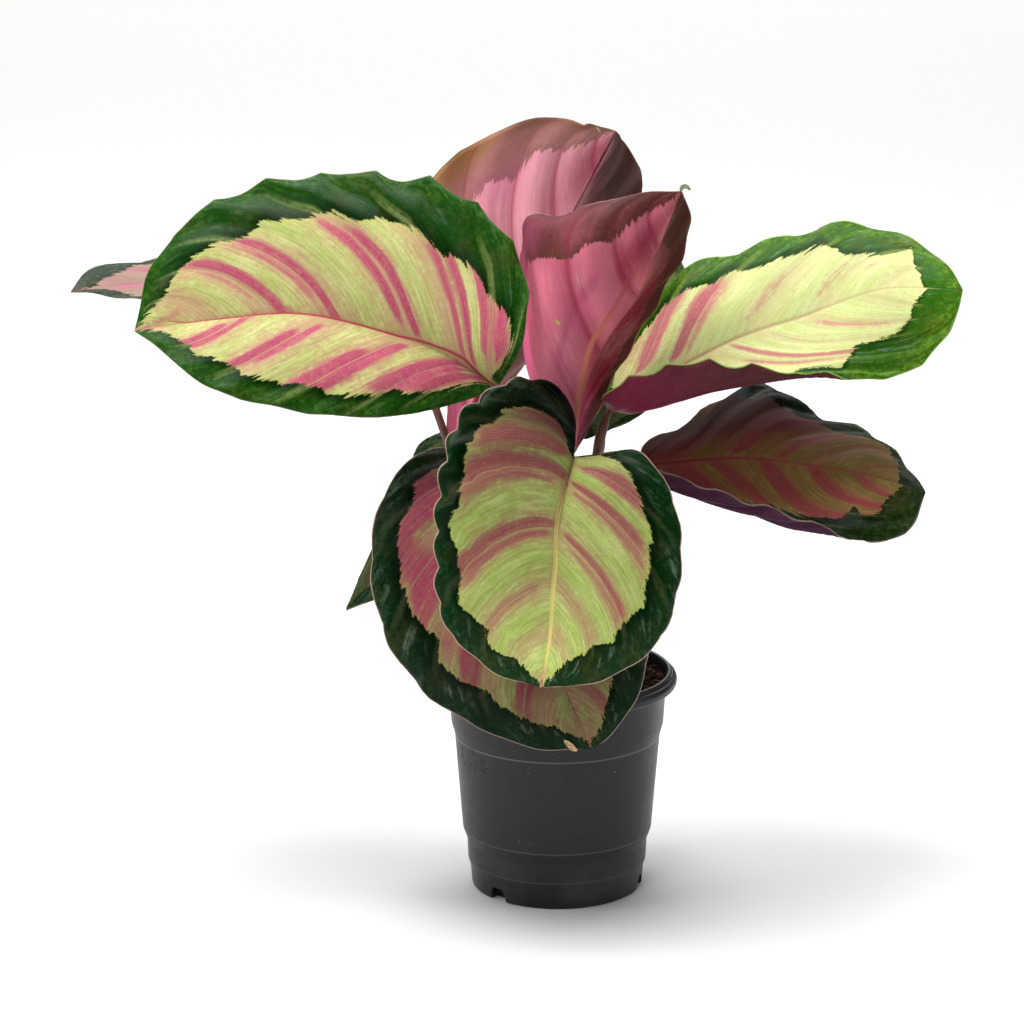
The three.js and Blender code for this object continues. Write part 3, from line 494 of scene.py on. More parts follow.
class CALATHEA_PG_stems(PropertyGroup):
    radius: length("Radius", "Radius along the stem", 2)
    foot_radius: length("Foot radius", "Radius where the stem leaves the peat", 3.2)
    knee_radius: length("Knee radius", "Radius of the swollen knee under the blade", 2.6)
    end_radius: length("End radius", "Radius where the stem meets the blade", 1.2)
    skin: colour("Stem", "Red-brown of the stems", "6b3426")
    dark: colour("Dark stem", "Darker streaks on the stems", "3d1c16")
    knee: colour("Knee", "Tone of the knee under the blade", "7c5a3c")


class CALATHEA_PG_pot(PropertyGroup):
    wall: length("Wall", "Thickness of the pot's wall", 1.3)
    floor: length("Floor", "Thickness of the pot's floor", 2.2)
    plastic: colour("Plastic", "Black plastic", "121517")
    dust: colour("Dust", "Dry peat dust and water marks", "6c6a64")
    roughness: share("Roughness", "Roughness of the plastic", 0.42)


class CALATHEA_PG_peat(PropertyGroup):
    lump: length("Lumps", "Height of the lumps in the peat", 2)
    crumbs: IntProperty(name="Crumbs", description="Number of loose crumbs", default=1300, min=0)
    bits: IntProperty(name="Bark bits", description="Number of bark bits and fibres", default=140, min=0)
    dark: colour("Peat", "Dark damp peat", "1b0e06")
    brown: colour("Dry peat", "Dry peat on the crumbs", "3e2816")
    tan: colour("Bark", "Bark bits and fibres", "8a6238")


class CALATHEA_PG_stage(PropertyGroup):
    floor: colour("Floor", "Pale floor", "fafaf8")
    top: power("Top light", "Power of the wide light overhead", 58)
    front: power("Front light", "Power of the light over the camera", 13)
    side: power("Side lights", "Power of each side light", 9)
    backdrop: power("Back light", "Power of the light over the far floor", 165)
    world: FloatProperty(name="Sky", description="Strength of the even light all round", default=0.06, min=0)


class CALATHEA_PG_all(PropertyGroup):
    leaves: PointerProperty(type=CALATHEA_PG_leaves)
    colours: PointerProperty(type=CALATHEA_PG_leaf_colours)
    stems: PointerProperty(type=CALATHEA_PG_stems)
    pot: PointerProperty(type=CALATHEA_PG_pot)
    peat: PointerProperty(type=CALATHEA_PG_peat)
    stage: PointerProperty(type=CALATHEA_PG_stage)


def settings():
    return bpy.context.scene.calathea


class Finish:
    """A material in the making, with short names for the nodes that it uses."""

    def __init__(self, name):
        self.material = bpy.data.materials.new(name)
        self.material.use_nodes = True
        self.nodes = self.material.node_tree.nodes
        self.links = self.material.node_tree.links
        self.shader = self.nodes["Principled BSDF"]

    def put(self, socket, value):
        if isinstance(value, bpy.types.NodeSocket):
            self.links.new(value, socket)
        elif socket.type == "RGBA" and len(value) == 3:
            socket.default_value = (*value, 1)
        else:
            socket.default_value = value

    def set(self, **values):
        for name, value in values.items():
            self.put(self.shader.inputs[name.replace("_", " ")], value)

    def node(self, kind, inputs=(), output=0, **options):
        """Adds a node, fills its inputs by place or by name, and gives one of its outputs."""
        node = self.nodes.new(f"ShaderNode{kind}")
        for option, value in options.items():
            setattr(node, option, value)
        for socket, value in inputs.items() if isinstance(inputs, dict) else enumerate(inputs):
            self.put(node.inputs[socket], value)
        return node.outputs[output]

    def math(self, operation, a, b=0.0, clamp=False):
        return self.node("Math", (a, b), operation=operation, use_clamp=clamp)

    def add(self, total, *terms):
        for term in terms:
            total = self.math("ADD", total, term)
        return total

    def times(self, product, *factors, clamp=False):
        for factor in factors:
            product = self.math("MULTIPLY", product, factor, clamp)
        return product

    def off(self, place, centre, size):
        """How far a place is from a centre, counted in sizes."""
        return self.times(self.add(place, -centre), 1 / size)

    def squares(self, *lengths):
        """The sum of the squares of some lengths."""
        return self.add(*(self.math("POWER", self.math("ABSOLUTE", part), 2) for part in lengths))

    def step(self, value, low, high, to_low=0.0, to_high=1.0):
        """Goes smoothly from to_low to to_high while the value goes from low to high."""
        return self.node("MapRange", (value, low, high, to_low, to_high), interpolation_type="SMOOTHSTEP")

    def mix(self, factor, a, b):
        return self.node("Mix", {0: factor, 6: a, 7: b}, 2, data_type="RGBA")

    def layers(self, surface, *coats):
        """Lays coats over a colour: how much of each coat shows, and its own colour."""
        for amount, shade in coats:
            surface = self.mix(amount, surface, shade)
        return surface

    def tone(self, shade, amount):
        """A colour made lighter or darker by an amount around one."""
        return self.node("VectorMath", {0: shade, "Scale": amount}, operation="SCALE")

    def vector(self, *parts):
        return self.node("CombineXYZ", parts)

    def parts(self, vector):
        node = self.nodes.new("ShaderNodeSeparateXYZ")
        self.put(node.inputs[0], vector)
        return tuple(node.outputs)

    def marks(self, attribute):
        """The three marks that a mesh keeps under one name."""
        return self.parts(self.node("Attribute", output="Vector", attribute_name=attribute))

    def place(self, scale=(1, 1, 1)):
        return self.node("Mapping", {"Vector": self.node("TexCoord", output="Object"), "Scale": scale})

    def noise(self, vector, scale=1.0, detail=2.0, roughness=0.5, distortion=0.0):
        return self.node("TexNoise", {"Vector": vector, "Scale": scale, "Detail": detail,
                                      "Roughness": roughness, "Distortion": distortion}, "Fac")

    def bump(self, height, strength, distance, normal=None):
        inputs = {"Strength": strength, "Distance": distance, "Height": height}
        if normal is not None:
            inputs["Normal"] = normal
        return self.node("Bump", inputs)


class LeafFinish(Finish):
    """One face of a leaf, with what both faces share: its grain along the veins, its pattern, and its painted light
    and shade.
    """

    def __init__(self, name, leaf, seed, soft, cloud):
        super().__init__(name)
        self.seed = seed
        self.across, self.along, self.vein = self.marks("leaf_place")
        inside, self.rose, self.blush = self.marks("leaf_mark")
        # The third mark of leaf_room is the painted shade and light of the leaf's patches.
        self.to_edge, self.to_rib, shade = self.marks("leaf_room")
        phase, half, self.glow = self.marks("leaf_fold")
        side = self.times(self.math("SIGN", self.across), 7.3)
        self.fibre = self.drawn(330, self.add(self.times(self.across, 3), side), 3, roughness=0.6)
        self.grain = self.drawn(90, self.add(self.times(self.across, 6), side), 0)
        self.slow = self.drawn(20, side, 5, detail=1)
        uneven = self.drawn(47, side, 9, detail=1)
        self.mottle = self.noise(self.place(), 330, 4, 0.62)
        self.speck = self.noise(self.place(), 1300, 2, 0.6)
        self.cloud = self.noise(self.place(), cloud, 2)
        thin_veins = math.dist(leaf["rib"][0], leaf["rib"][-1]) / THIN_VEIN_GAP
        run = self.add(self.times(self.vein, thin_veins), self.times(self.slow, 2))
        tooth = self.times(self.saw(run, 0.22), self.step(uneven, 0.3, 0.7, 0.8, 2.8))
        lobe = self.times(self.saw(self.times(run, 0.29), 0.12), self.step(self.slow, 0.35, 0.65, 0.8, 4.2))
        teeth = self.times(self.add(tooth, lobe), leaf["teeth"])
        ragged = self.times(self.math("SUBTRACT", self.weigh(fibre=0.45, speck=0.9, mottle=0.9), 1.12), 3.4)
        self.reach = self.add(inside, self.math("DIVIDE", self.add(teeth, ragged), half))
        self.mask = self.step(self.reach, -soft, soft)
        self.pleat = self.math("PINGPONG", phase, 0.5)
        self.thin = self.times(self.step(self.math("PINGPONG", run, 0.5), 0.02, 0.16, 1, 0), leaf["lines"])
        # Painted light and shade: the painted patches, and painted light on one flank of each side vein with painted
        # shade on the other, scale the face's colour.
        painted_flank_light = self.times(self.math("SINE", self.times(phase, 2 * math.pi)), leaf["painted_side_light"])
        self.light = self.add(1, shade, painted_flank_light)
        self.ridged = self.add(self.math("PINGPONG", self.times(self.vein, 85), 0.5), self.fibre)

    def drawn(self, rate, aside, extra, detail=3, roughness=0.5):
        """Noise drawn out along the side veins."""
        return self.noise(self.vector(self.times(self.vein, rate), aside, self.seed + extra), 1, detail, roughness)

    def saw(self, run, drop):
        """Teeth that rise towards the tip and drop over a short part of their length, centred on zero."""
        part = self.math("FRACT", run)
        rise = self.times(part, 1 / (1 - drop))
        fall = self.times(self.math("SUBTRACT", 1, part), 1 / drop)
        return self.math("SUBTRACT", self.math("MINIMUM", rise, fall), 0.5)

    def weigh(self, **shares):
        """Adds up marks of this face, each by its share."""
        return self.add(*(self.times(getattr(self, mark), part) for mark, part in shares.items()))

    def patch(self, s, t, ds, dt):
        """How far a place is from the middle of a patch, one at the patch's own size."""
        return self.squares(self.off(self.across, s, ds), self.off(self.along, t, dt))


def new_object(name, data, *materials):
    piece = bpy.data.objects.new(name, data)
    bpy.context.scene.collection.objects.link(piece)
    for material in materials:
        data.materials.append(material)
    return piece


def seat(piece, slot, *nodes):
    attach(piece, BODY)
    if nodes:
        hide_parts(*nodes)


def smooth_mesh(bm, name):
    """The finished mesh of bm, shaded smooth."""
    mesh = bpy.data.meshes.new(name)
    bm.to_mesh(mesh)
    bm.free()
    shade_smooth(mesh)
    return mesh


def shade_smooth(mesh):
    mesh.polygons.foreach_set("use_smooth", [True] * len(mesh.polygons))


def line_through(points, shares):
    """Points on a smooth line through a few points, by share of its length."""
    known = np.array(points, float) * MM
    spans = len(known) - 1
    known = np.vstack([2 * known[0] - known[1], known, 2 * known[-1] - known[-2]])

    def at(u):
        place = np.clip(u, 0, 1) * spans
        first = np.minimum(np.floor(place).astype(int), spans - 1)
        part = (place - first)[:, None]
        a, b, c, d = (known[first + i] for i in range(4))
        ab, bc, cd = (np.sqrt(np.linalg.norm(q - p, axis=1))[:, None] for p, q in ((a, b), (b, c), (c, d)))
        out = ((b - a) / ab - (c - a) / (ab + bc) + (c - b) / bc) * bc
        back = ((c - b) / bc - (d - b) / (bc + cd) + (d - c) / cd) * bc
        return (b + out * part + (-3 * b + 3 * c - 2 * out - back) * part ** 2
                + (2 * b - 2 * c + out + back) * part ** 3)

    even = np.linspace(0, 1, LINE_DIVISIONS + 1)
    run = np.concatenate([[0], np.cumsum(np.linalg.norm(np.diff(at(even), axis=0), axis=1))])
    return at(np.interp(np.clip(shares, 0, 1) * run[-1], run, even))


def sheet(name, columns, rows):
    """A flat grid, with the order of its points by row and then by column."""
    bm = bmesh.new()
    bmesh.ops.create_grid(bm, x_segments=columns, y_segments=rows, size=1)
    mesh = smooth_mesh(bm, name)
    flat = np.empty(len(mesh.vertices) * 3)
    mesh.vertices.foreach_get("co", flat)
    x, y = flat.reshape(-1, 3)[:, 0], flat.reshape(-1, 3)[:, 1]
    order = np.lexsort((np.round(x, 5), np.round(y, 5))).reshape(rows + 1, columns + 1)
    return mesh, order, x[order], y[order]


def in_order(order, values):
    """Values laid out by row and column, put back in the order of the mesh's points."""
    out = np.empty((order.size, values.shape[-1]))
    out[order.ravel()] = values.reshape(order.size, -1)
    return out.ravel()


def keep_marks(mesh, order, **marks):
    """Keeps three marks at each point under each name, for the finishes."""
    for label, parts in marks.items():
        values = np.stack(np.broadcast_arrays(*parts), -1)
        mesh.attributes.new(label, "FLOAT_VECTOR", "POINT").data.foreach_set("vector", in_order(order, values))


def unit(vectors):
    return vectors / np.maximum(np.linalg.norm(vectors, axis=-1), 1e-12)[..., None]


def smoothstep(value, low, high):
    part = np.clip((value - low) / (high - low), 0, 1)
    return part * part * (3 - 2 * part)


def from_table(along, table):
    """Values at places along a leaf, from a table of places and values."""
    return np.interp(along, *np.array(table, float).T)


def both(value):
    """A value for the left and the right half, given once or for each."""
    return np.broadcast_to(value, 2)


def vein_of(along, out, lean):
    """Where the side vein through a place leaves the midrib. It is negative in the lobes."""
    vein = along - lean * out
    for _ in range(12):
        slip = vein + lean * (1 - vein ** 3) * out - along
        vein = vein - slip / (1 - 3 * lean * vein ** 2 * out)
    return np.clip(vein, -1, 1)


def vein_count(known, vein):
    """Counts the main side veins from the base: whole numbers fall on a vein."""
    below = [known[0] - VEIN_GAP * i for i in range(VEINS_BELOW, 0, -1)]
    places = [*below, *known, known[-1] + VEIN_GAP, known[-1] + 2 * VEIN_GAP]
    return np.interp(vein, places, np.arange(len(places)) - VEINS_BELOW)


def ripples(vein, side, seed):
    """Small uneven waves, in step with the side veins."""
    return sum(np.sin(2 * np.pi * (rate * vein + 0.37 * seed + 0.21 * rate * (side > 0))) / rate ** 0.5
               for rate in (23, 31, 41)) * 2.2


def blade_points(leaf, along, across):
    """The smooth blade, and its half width, for a grid of places on it."""
    shares = along[:, 0]
    base, *_, tip = leaf["rib"]
    rib = line_through(leaf["rib"], shares)
    forward = line_through(leaf["rib"], shares + 0.02) - line_through(leaf["rib"], shares - 0.02)
    out = np.abs(across)
    points = np.zeros(along.shape + (3,))
    width = np.zeros(along.shape)
    for index, side, sign in ((0, "left", -1), (1, "right", 1)):
        margin = line_through([base, *leaf[side], tip], shares)
        chord = margin - rib
        if side + "_middle" in leaf:
            middle = line_through([base, *leaf[side + "_middle"], tip], shares)
        else:
            up = unit(np.cross(chord, forward)) * sign
            middle = rib + 0.5 * chord + up * both(leaf["bow"])[index] * np.linalg.norm(chord, axis=1)[:, None]
        frills = both(leaf.get("frills", leaf["waves"]))[index]
        frill = leaf["cusp"] * (1 - 2 * np.abs(np.sin(np.pi * frills * along))) * np.sin(np.pi * along)
        reach = out * (1 + both(leaf["scallop"])[index] * out * out * frill)
        for torn, place, depth, size in leaf["tears"]:
            if torn == sign:
                reach = reach * (1 - depth * out ** 8 * np.exp(-((along - place) / size) ** 2))
        reach = reach[..., None]
        half = (rib[:, None] * (1 - reach) * (1 - 2 * reach) + middle[:, None] * 4 * reach * (1 - reach)
                + margin[:, None] * reach * (2 * reach - 1))
        use = across * sign >= 0
        points[use] = half[use]
        run = (np.linalg.norm(middle - rib, axis=1) + np.linalg.norm(margin - middle, axis=1))[:, None]
        width[use] = np.broadcast_to(run, along.shape)[use]
    return points, width


def streaks(name, out, side, vein):
    """How rosy each place is from the streaks along the side veins."""
    rose = np.zeros(out.shape)
    for half, start, spread, strength, first, last in STREAKS.get(name, PLAIN_STREAKS):
        band = strength * np.exp(-((vein - start) / (spread * (1.1 + 1.7 * out))) ** 2) * (side == half)
        rose = np.maximum(rose, band * smoothstep(out, first - 0.06, first + 0.06)
                          * (1 - smoothstep(out, last - 0.1, last + 0.12)))
    return rose


def patches(table, across, along):
    """The patches in a table, each at its strongest in its middle."""
    return [np.zeros(along.shape)] + [
        amount * np.exp(-((across - s) / ds) ** 2 - ((along - t) / dt) ** 2) for s, t, ds, dt, amount in table]


def leaf_piece(name, leaf, seed, look, finishes):
    """A leaf blade: one grid laid over the blade, its marks kept as attributes, then thickened."""
    mesh, order, x, y = sheet(f"blade_{name}", look.columns, look.rows_per_wave * leaf["waves"])
    along = (y + 1) / 2
    across = x * (0.5 + 0.5 * x * x)
    left, out, side = across < 0, np.abs(across), np.sign(across)

    points, width = blade_points(leaf, along, across)
    lean = np.where(left, *both(leaf["lean"]))
    vein = vein_of(along, out, lean)
    at_margin = vein + lean * (1 - vein ** 3)
    envelope = np.clip(np.sin(np.pi * along), 0, 1) ** 0.7
    wave = np.sin(2 * np.pi * (leaf["waves"] * at_margin + np.where(left, 0.5, 0)))
    lift = np.where(left, *both(leaf["wave_height"])) * MM * envelope * out ** 3 * wave
    lift += look.ripple * envelope * out ** 5 * ripples(vein, side, seed) * 0.5
    phase = np.where(left, *(vein_count(known, vein) for known in leaf["veins"]))
    between = 2 * np.abs(np.sin(np.pi * phase)) ** 0.8 - 1 - 0.25 * np.cos(6 * np.pi * phase + 1)
    lift += look.swell * leaf["pleats"] * envelope * np.clip(out * 5, 0, 1) * (1 - out ** 3) * between
    rib_half = look.rib_width * leaf["rib_width"] * (1 - 0.75 * along)
    from_rib = np.abs(across - from_table(along, RIB_SHIFTS.get(name, [(0, 0), (1, 0)]))) * width
    groove = np.exp(-(from_rib / rib_half) ** 2)
    lift += look.thickness / 2 - 0.3 * MM * groove * envelope
    normal = unit(np.cross(np.gradient(points, axis=1), np.gradient(points, axis=0)))
    points = points + normal * lift[..., None]
    mesh.vertices.foreach_set("co", in_order(order, points))

    edges = (from_table(along, edge) for edge in EDGES.get(name, (PLAIN_EDGE, PLAIN_EDGE)))
    inside = np.where(left, *edges) - out
    inside += leaf["arches"] * (np.abs(np.sin(np.pi * phase)) ** 0.7 - 0.6)
    # The patches of painted shade and light add up to the third mark of leaf_room.
    blush, glow, tone = (patches(table.get(name, ()), across, along) for table in (BLUSHES, GLOWS, PAINTED_SHADE_AND_LIGHT))
    keep_marks(mesh, order, leaf_place=(across, along, vein),
               leaf_mark=(inside, streaks(name, out, side, vein), np.max(blush, axis=0)),
               leaf_room=((1 - out) * width / MM, from_rib / rib_half, sum(tone)),
               leaf_fold=(phase, np.maximum(width / MM, 2), np.max(glow, axis=0)))
    piece = new_object(f"blade_{name}", mesh, *finishes)
    ridge = groove * np.clip(along / 0.08, 0, 1) * (1 - along)
    depth = (look.thickness + look.rib_depth * ridge) / (look.thickness + look.rib_depth)
    group = piece.vertex_groups.new(name="depth")
    for index, weight in enumerate(in_order(order, depth[..., None])):
        group.add((index,), float(weight), "REPLACE")

    bm = bmesh.new()
    bm.from_mesh(mesh)
    bm.verts.ensure_lookup_table()
    ends = [bm.verts[i] for i in (*order[0], *order[-1])]
    bmesh.ops.remove_doubles(bm, verts=ends, dist=0.02 * MM)
    bm.to_mesh(mesh)
    bm.free()

    wall = piece.modifiers.new("thickness", "SOLIDIFY")
    wall.thickness = look.thickness + look.rib_depth
    wall.offset = -1
    wall.vertex_group = "depth"
    wall.thickness_vertex_group = 0
    wall.material_offset = 1
    wall.material_offset_rim = 2
    return piece


def upper_middle(f, leaf, tones):
    """The pale middle of the upper face, with lime clouds, rose streaks and fine brown lines."""
    limy = f.step(f.weigh(grain=1, cloud=0.5, fibre=0.4, mottle=0.4), 0.85, 1.4)
    veil = f.step(f.weigh(pleat=-0.9, grain=0.75, mottle=0.75, speck=0.35, rose=0.3, blush=0.4), 0.45, 0.95)
    broken = f.weigh(fibre=0.45, grain=0.5, mottle=0.6, speck=0.4)
    rosy = f.step(f.add(f.weigh(rose=1, blush=0.8), f.times(broken, 0.9)), 1.05, 1.65, 0, 0.95)
    flecks = f.step(f.weigh(fibre=0.6, speck=0.35, mottle=0.4), 0.58, 0.85, 0, 0.5)
    return f.layers(
        f.mix(limy, tones.pale, tones.lime),
        (f.times(veil, leaf["dusty"]), f.mix(0.55, tones.pale, tones.rose)),
        (f.step(f.reach, 0.0, 0.05, 0.55, 0), f.mix(0.3, tones.lime, YELLOW_FRINGE)),
        (rosy, f.mix(flecks, tones.rose, f.mix(0.5, tones.rose, tones.pale))),
        (f.times(f.thin, f.step(f.grain, 0.35, 0.6, 0.08, 0.42)), f.mix(0.6, tones.rose, BROWN_LINE)),
        (f.step(f.pleat, 0.005, 0.02, 0.45, 0), f.mix(0.25, tones.pale, tones.rose)),
        (f.step(f.speck, 0.56, 0.7, 0, 0.3), f.mix(0.6, tones.lime, BROWN_SPECK)))


def upper_band(f, leaf, tones):
    """The dark band, with paler streaks, painted reflections along the vein ridges and painted glints between them.
    """
    paler = f.step(f.weigh(grain=0.45, mottle=0.6, cloud=0.3), 0.6, 0.9, 0.12, 0.9)
    ridge_reflections = f.times(f.step(f.pleat, 0.02, 0.11, leaf["ridge_reflections"], 0), f.step(f.reach, -0.32, -0.04))
    texture = f.step(f.weigh(grain=1, mottle=0.6, speck=0.4), 0.75, 1.1, 0.25, 1)
    glint_zone = f.times(f.step(f.reach, -0.42, -0.22), f.step(f.reach, -0.14, -0.04, 1, 0),
                   f.step(f.pleat, 0.12, 0.3, 0, leaf["painted_glints"]))
    glint_noise = f.drawn(34, f.times(f.across, 8), 15)
    painted_glints = f.step(f.add(glint_noise, f.times(f.fibre, 0.2), f.times(f.mottle, 0.25)), 0.74, 1.0)
    return f.layers(
        f.mix(f.times(paler, f.step(f.to_edge, 1, 15, 1, 0.22)), tones.margin, tones.sheen),
        (f.step(f.weigh(cloud=1, mottle=0.5), 0.7, 0.98, 0, 0.4), DUSKY_BROWN),
        (f.step(f.speck, 0.5, 0.66, 0, 0.4), f.mix(0.7, tones.margin, NEAR_BLACK)),
        (f.step(f.reach, -0.12, -0.015, 0, 0.8), f.mix(0.8, tones.margin, BLACK_GREEN)),
        # Painted reflections along the vein ridges.
        (f.times(ridge_reflections, texture), f.mix(0.4, tones.sheen, RIDGE_REFLECTION)),
        # Painted glints between the veins.
        (f.times(glint_zone, painted_glints), PAINTED_GLINT))


def upper_finish(name, leaf, seed, tones, look):
    """The upper face: a pale feathered middle with rose streaks, and a glossy dark band."""
    f = LeafFinish(f"{name}_upper", leaf, seed, soft=0.008, cloud=60)
    painted = f.step(f.along, 0.86, 0.97, 1, leaf["rib_end"])
    surface = f.layers(
        f.mix(f.mask, upper_band(f, leaf, tones), upper_middle(f, leaf, tones)),
        (f.step(f.to_rib, 1.0, 2.4, f.step(f.along, 0.0, 0.8, 0.5, 0), 0), f.mix(0.5, tones.rose, tones.pale)),
        (f.times(f.step(f.to_rib, 0.5, 1.05, 0.85, 0), painted),
         f.mix(f.step(f.along, 0.02, 0.45), f.mix(0.35, tones.rib, RED_BASE), tones.rib)),
        (f.times(f.step(f.to_rib, 0.1, 0.35, f.step(f.along, 0.1, 0.6, 0.8, 0.1), 0), painted),
         f.mix(0.5, tones.rose, RED_CORE)),
        (f.times(f.step(f.to_edge, 0.25, 0.65, 0.85, 0), f.step(f.along, 0.96, 0.985, 1, 0)), tones.rim))
    normal = f.bump(f.ridged, 0.4, 0.14 * MM)
    normal = f.bump(f.add(f.speck, f.mottle), 0.3, 0.13 * MM, normal)
    rough = f.step(f.weigh(mask=0.6, mottle=0.8), 0.2, 1.1, look.gloss - 0.08, look.gloss + 0.16)
    # The colour is scaled by the painted light and shade.
    f.set(Base_Color=f.tone(surface, f.light), Roughness=rough, Normal=normal, Specular_IOR_Level=0.07)
    return f.material


def under_finish(name, leaf, seed, tones):
    """The underside: rosy where the upper face is pale, with a dull dark band."""
    f = LeafFinish(f"{name}_under", leaf, seed, soft=0.012, cloud=45)
    deep = f.step(f.weigh(rose=0.3, blush=0.85, grain=0.35, mottle=0.2), 0.35, 1.15)
    middle = f.layers(
        f.mix(deep, tones.under, tones.under_rose),
        (f.step(f.weigh(grain=0.5, cloud=0.5, mottle=0.3), 0.62, 0.95, 0, 0.35), f.mix(0.5, tones.under, BLOOM)),
        # Painted shade in the creases along the main side veins, in the deeper rose.
        (f.step(f.pleat, 0.0, 0.16, 0.5, 0), tones.under_rose))
    band = f.layers(
        f.mix(f.step(f.weigh(slow=0.5, cloud=1, mottle=0.4), 0.75, 1.25), tones.under_margin,
              f.mix(0.25, tones.under_margin, tones.under)),
        (f.step(f.reach, -0.12, -0.01, 0, 0.35), f.mix(0.6, tones.under_margin, DULL_BROWN)),
        (f.step(f.to_edge, 1, 8, 0.6, 0), tones.under_edge))
    stains = [(f.step(f.patch(*where), 0.1, 1.6, amount, 0), shade) for *where, shade, amount in leaf["stains"]]
    spots = [(f.step(f.add(f.patch(*where), f.times(f.speck, 1.6)), 1.0, 1.7, 0.85, 0), shade)
             for *where, shade in leaf["spots"]]
    surface = f.layers(
        f.mix(f.mask, band, middle),
        *stains,
        (f.times(f.glow, 0.8, clamp=True), tones.under_glow),
        (f.step(f.fibre, 0.45, 0.7, 0, 0.28), f.mix(0.35, tones.under_margin, tones.under_rose)),
        (f.step(f.speck, 0.6, 0.7, 0, 0.08), f.mix(0.5, tones.under, PALE_SPECK)),
        (f.step(f.pleat, 0.006, 0.03, 0.35, 0), tones.under_rose),
        *spots,
        (f.step(f.to_rib, 0.45, 1.1, f.step(f.along, 0.35, 0.8, 0.95, 0.4), 0),
         f.mix(f.step(f.along, 0.35, 0.65, 0, 0.7), tones.under_rib, tones.under_rose)),
        (f.step(f.to_edge, 0.25, 0.6, 0.8, 0), tones.rim))
    normal = f.bump(f.speck, 0.2, 0.08 * MM, f.bump(f.ridged, 0.22, 0.12 * MM))
    # The colour is scaled by the painted light and shade.
    f.set(Base_Color=f.tone(surface, f.light), Roughness=f.step(f.grain, 0.2, 0.8, 0.4, 0.55), Normal=normal,
          Specular_IOR_Level=0.08)
    return f.material


def rim_finish(name, tones):
    """The leaf's cut edge."""
    f = Finish(f"{name}_rim")
    speck = f.step(f.noise(f.place(), 900, 2), 0.3, 0.7)
    f.set(Base_Color=f.mix(speck, tones.rim, f.mix(0.5, tones.rim, tones.margin)), Roughness=0.5)
    return f.material


class CALATHEA_OT_leaves(Operator):
    """Lays out the leaf blades with their markings"""
    bl_idname = "calathea.leaves"
    bl_label = "Leaves"

    def execute(self, context):
        look, colours = settings().leaves, settings().colours
        for number, (name, leaf) in enumerate(LEAVES.items()):
            tones = SimpleNamespace(**{part: tuple(getattr(colours, f"{name}_{part}")) for part in COLOUR_WORDS})
            seed = 3.7 * number + 1
            finishes = (upper_finish(name, leaf, seed, tones, look), under_finish(name, leaf, seed, tones),
                        rim_finish(name, tones))
            seat(leaf_piece(name, leaf, seed, look, finishes), "leaf_blade", f"leaf_{name}")
        return {"FINISHED"}


class CALATHEA_OT_scraps(Operator):
    """Adds the dry curled scraps at two leaf tips"""
    bl_idname = "calathea.scraps"
    bl_label = "Dry scraps"

    def execute(self, context):
        for name, (code, half, path) in SCRAPS.items():
            f = Finish(name)
            dry = f.step(f.noise(f.place(), 1500, 3), 0.45, 0.7)
            tone = linear(code)
            f.set(Base_Color=f.mix(dry, tone, tuple(c * 0.35 for c in tone)), Roughness=0.7, Specular_IOR_Level=0.2)
            mesh, order, x, y = sheet(name, 6, 24)
            along = (y[:, 0] + 1) / 2
            line = line_through(path, along)
            ahead = unit(np.gradient(line, axis=0))
            aside = unit(np.cross(ahead, (0, -1, 0.2)))
            cupped = unit(np.cross(aside, ahead))
            half_width = half * MM * (0.35 + np.sin(np.pi * np.clip(along, 0.05, 0.95)))
            points = (line[:, None] + aside[:, None] * (x * half_width[:, None])[..., None]
                      + cupped[:, None] * (0.5 * x * x * half_width[:, None])[..., None])
            mesh.vertices.foreach_set("co", in_order(order, points))
            scrap = new_object(name, mesh, f.material)
            scrap.modifiers.new("thickness", "SOLIDIFY").thickness = SCRAP_THICKNESS * MM
            seat(scrap, "leaf_blade")
        return {"FINISHED"}


def stem_finish(look):
    """Red-brown skin with fine lengthwise streaks."""
    f = Finish("stem_skin")
    run, turn, knee = f.marks("stem_place")
    streak = f.noise(f.vector(f.times(turn, 9), f.times(run, 6), knee), detail=3)
    spots = f.noise(f.place(), 900, 2)
    skin = f.layers(f.mix(f.step(streak, 0.35, 0.7), look.dark, look.skin),
                    (f.times(knee, 0.6), look.knee), (f.step(spots, 0.6, 0.75, 0, 0.35), look.knee))
    f.set(Base_Color=skin, Roughness=f.step(streak, 0.3, 0.7, 0.32, 0.5), Coat_Weight=0.1,
          Normal=f.bump(f.add(streak, f.times(spots, 0.4)), 0.4, 0.2 * MM))
    return f.material


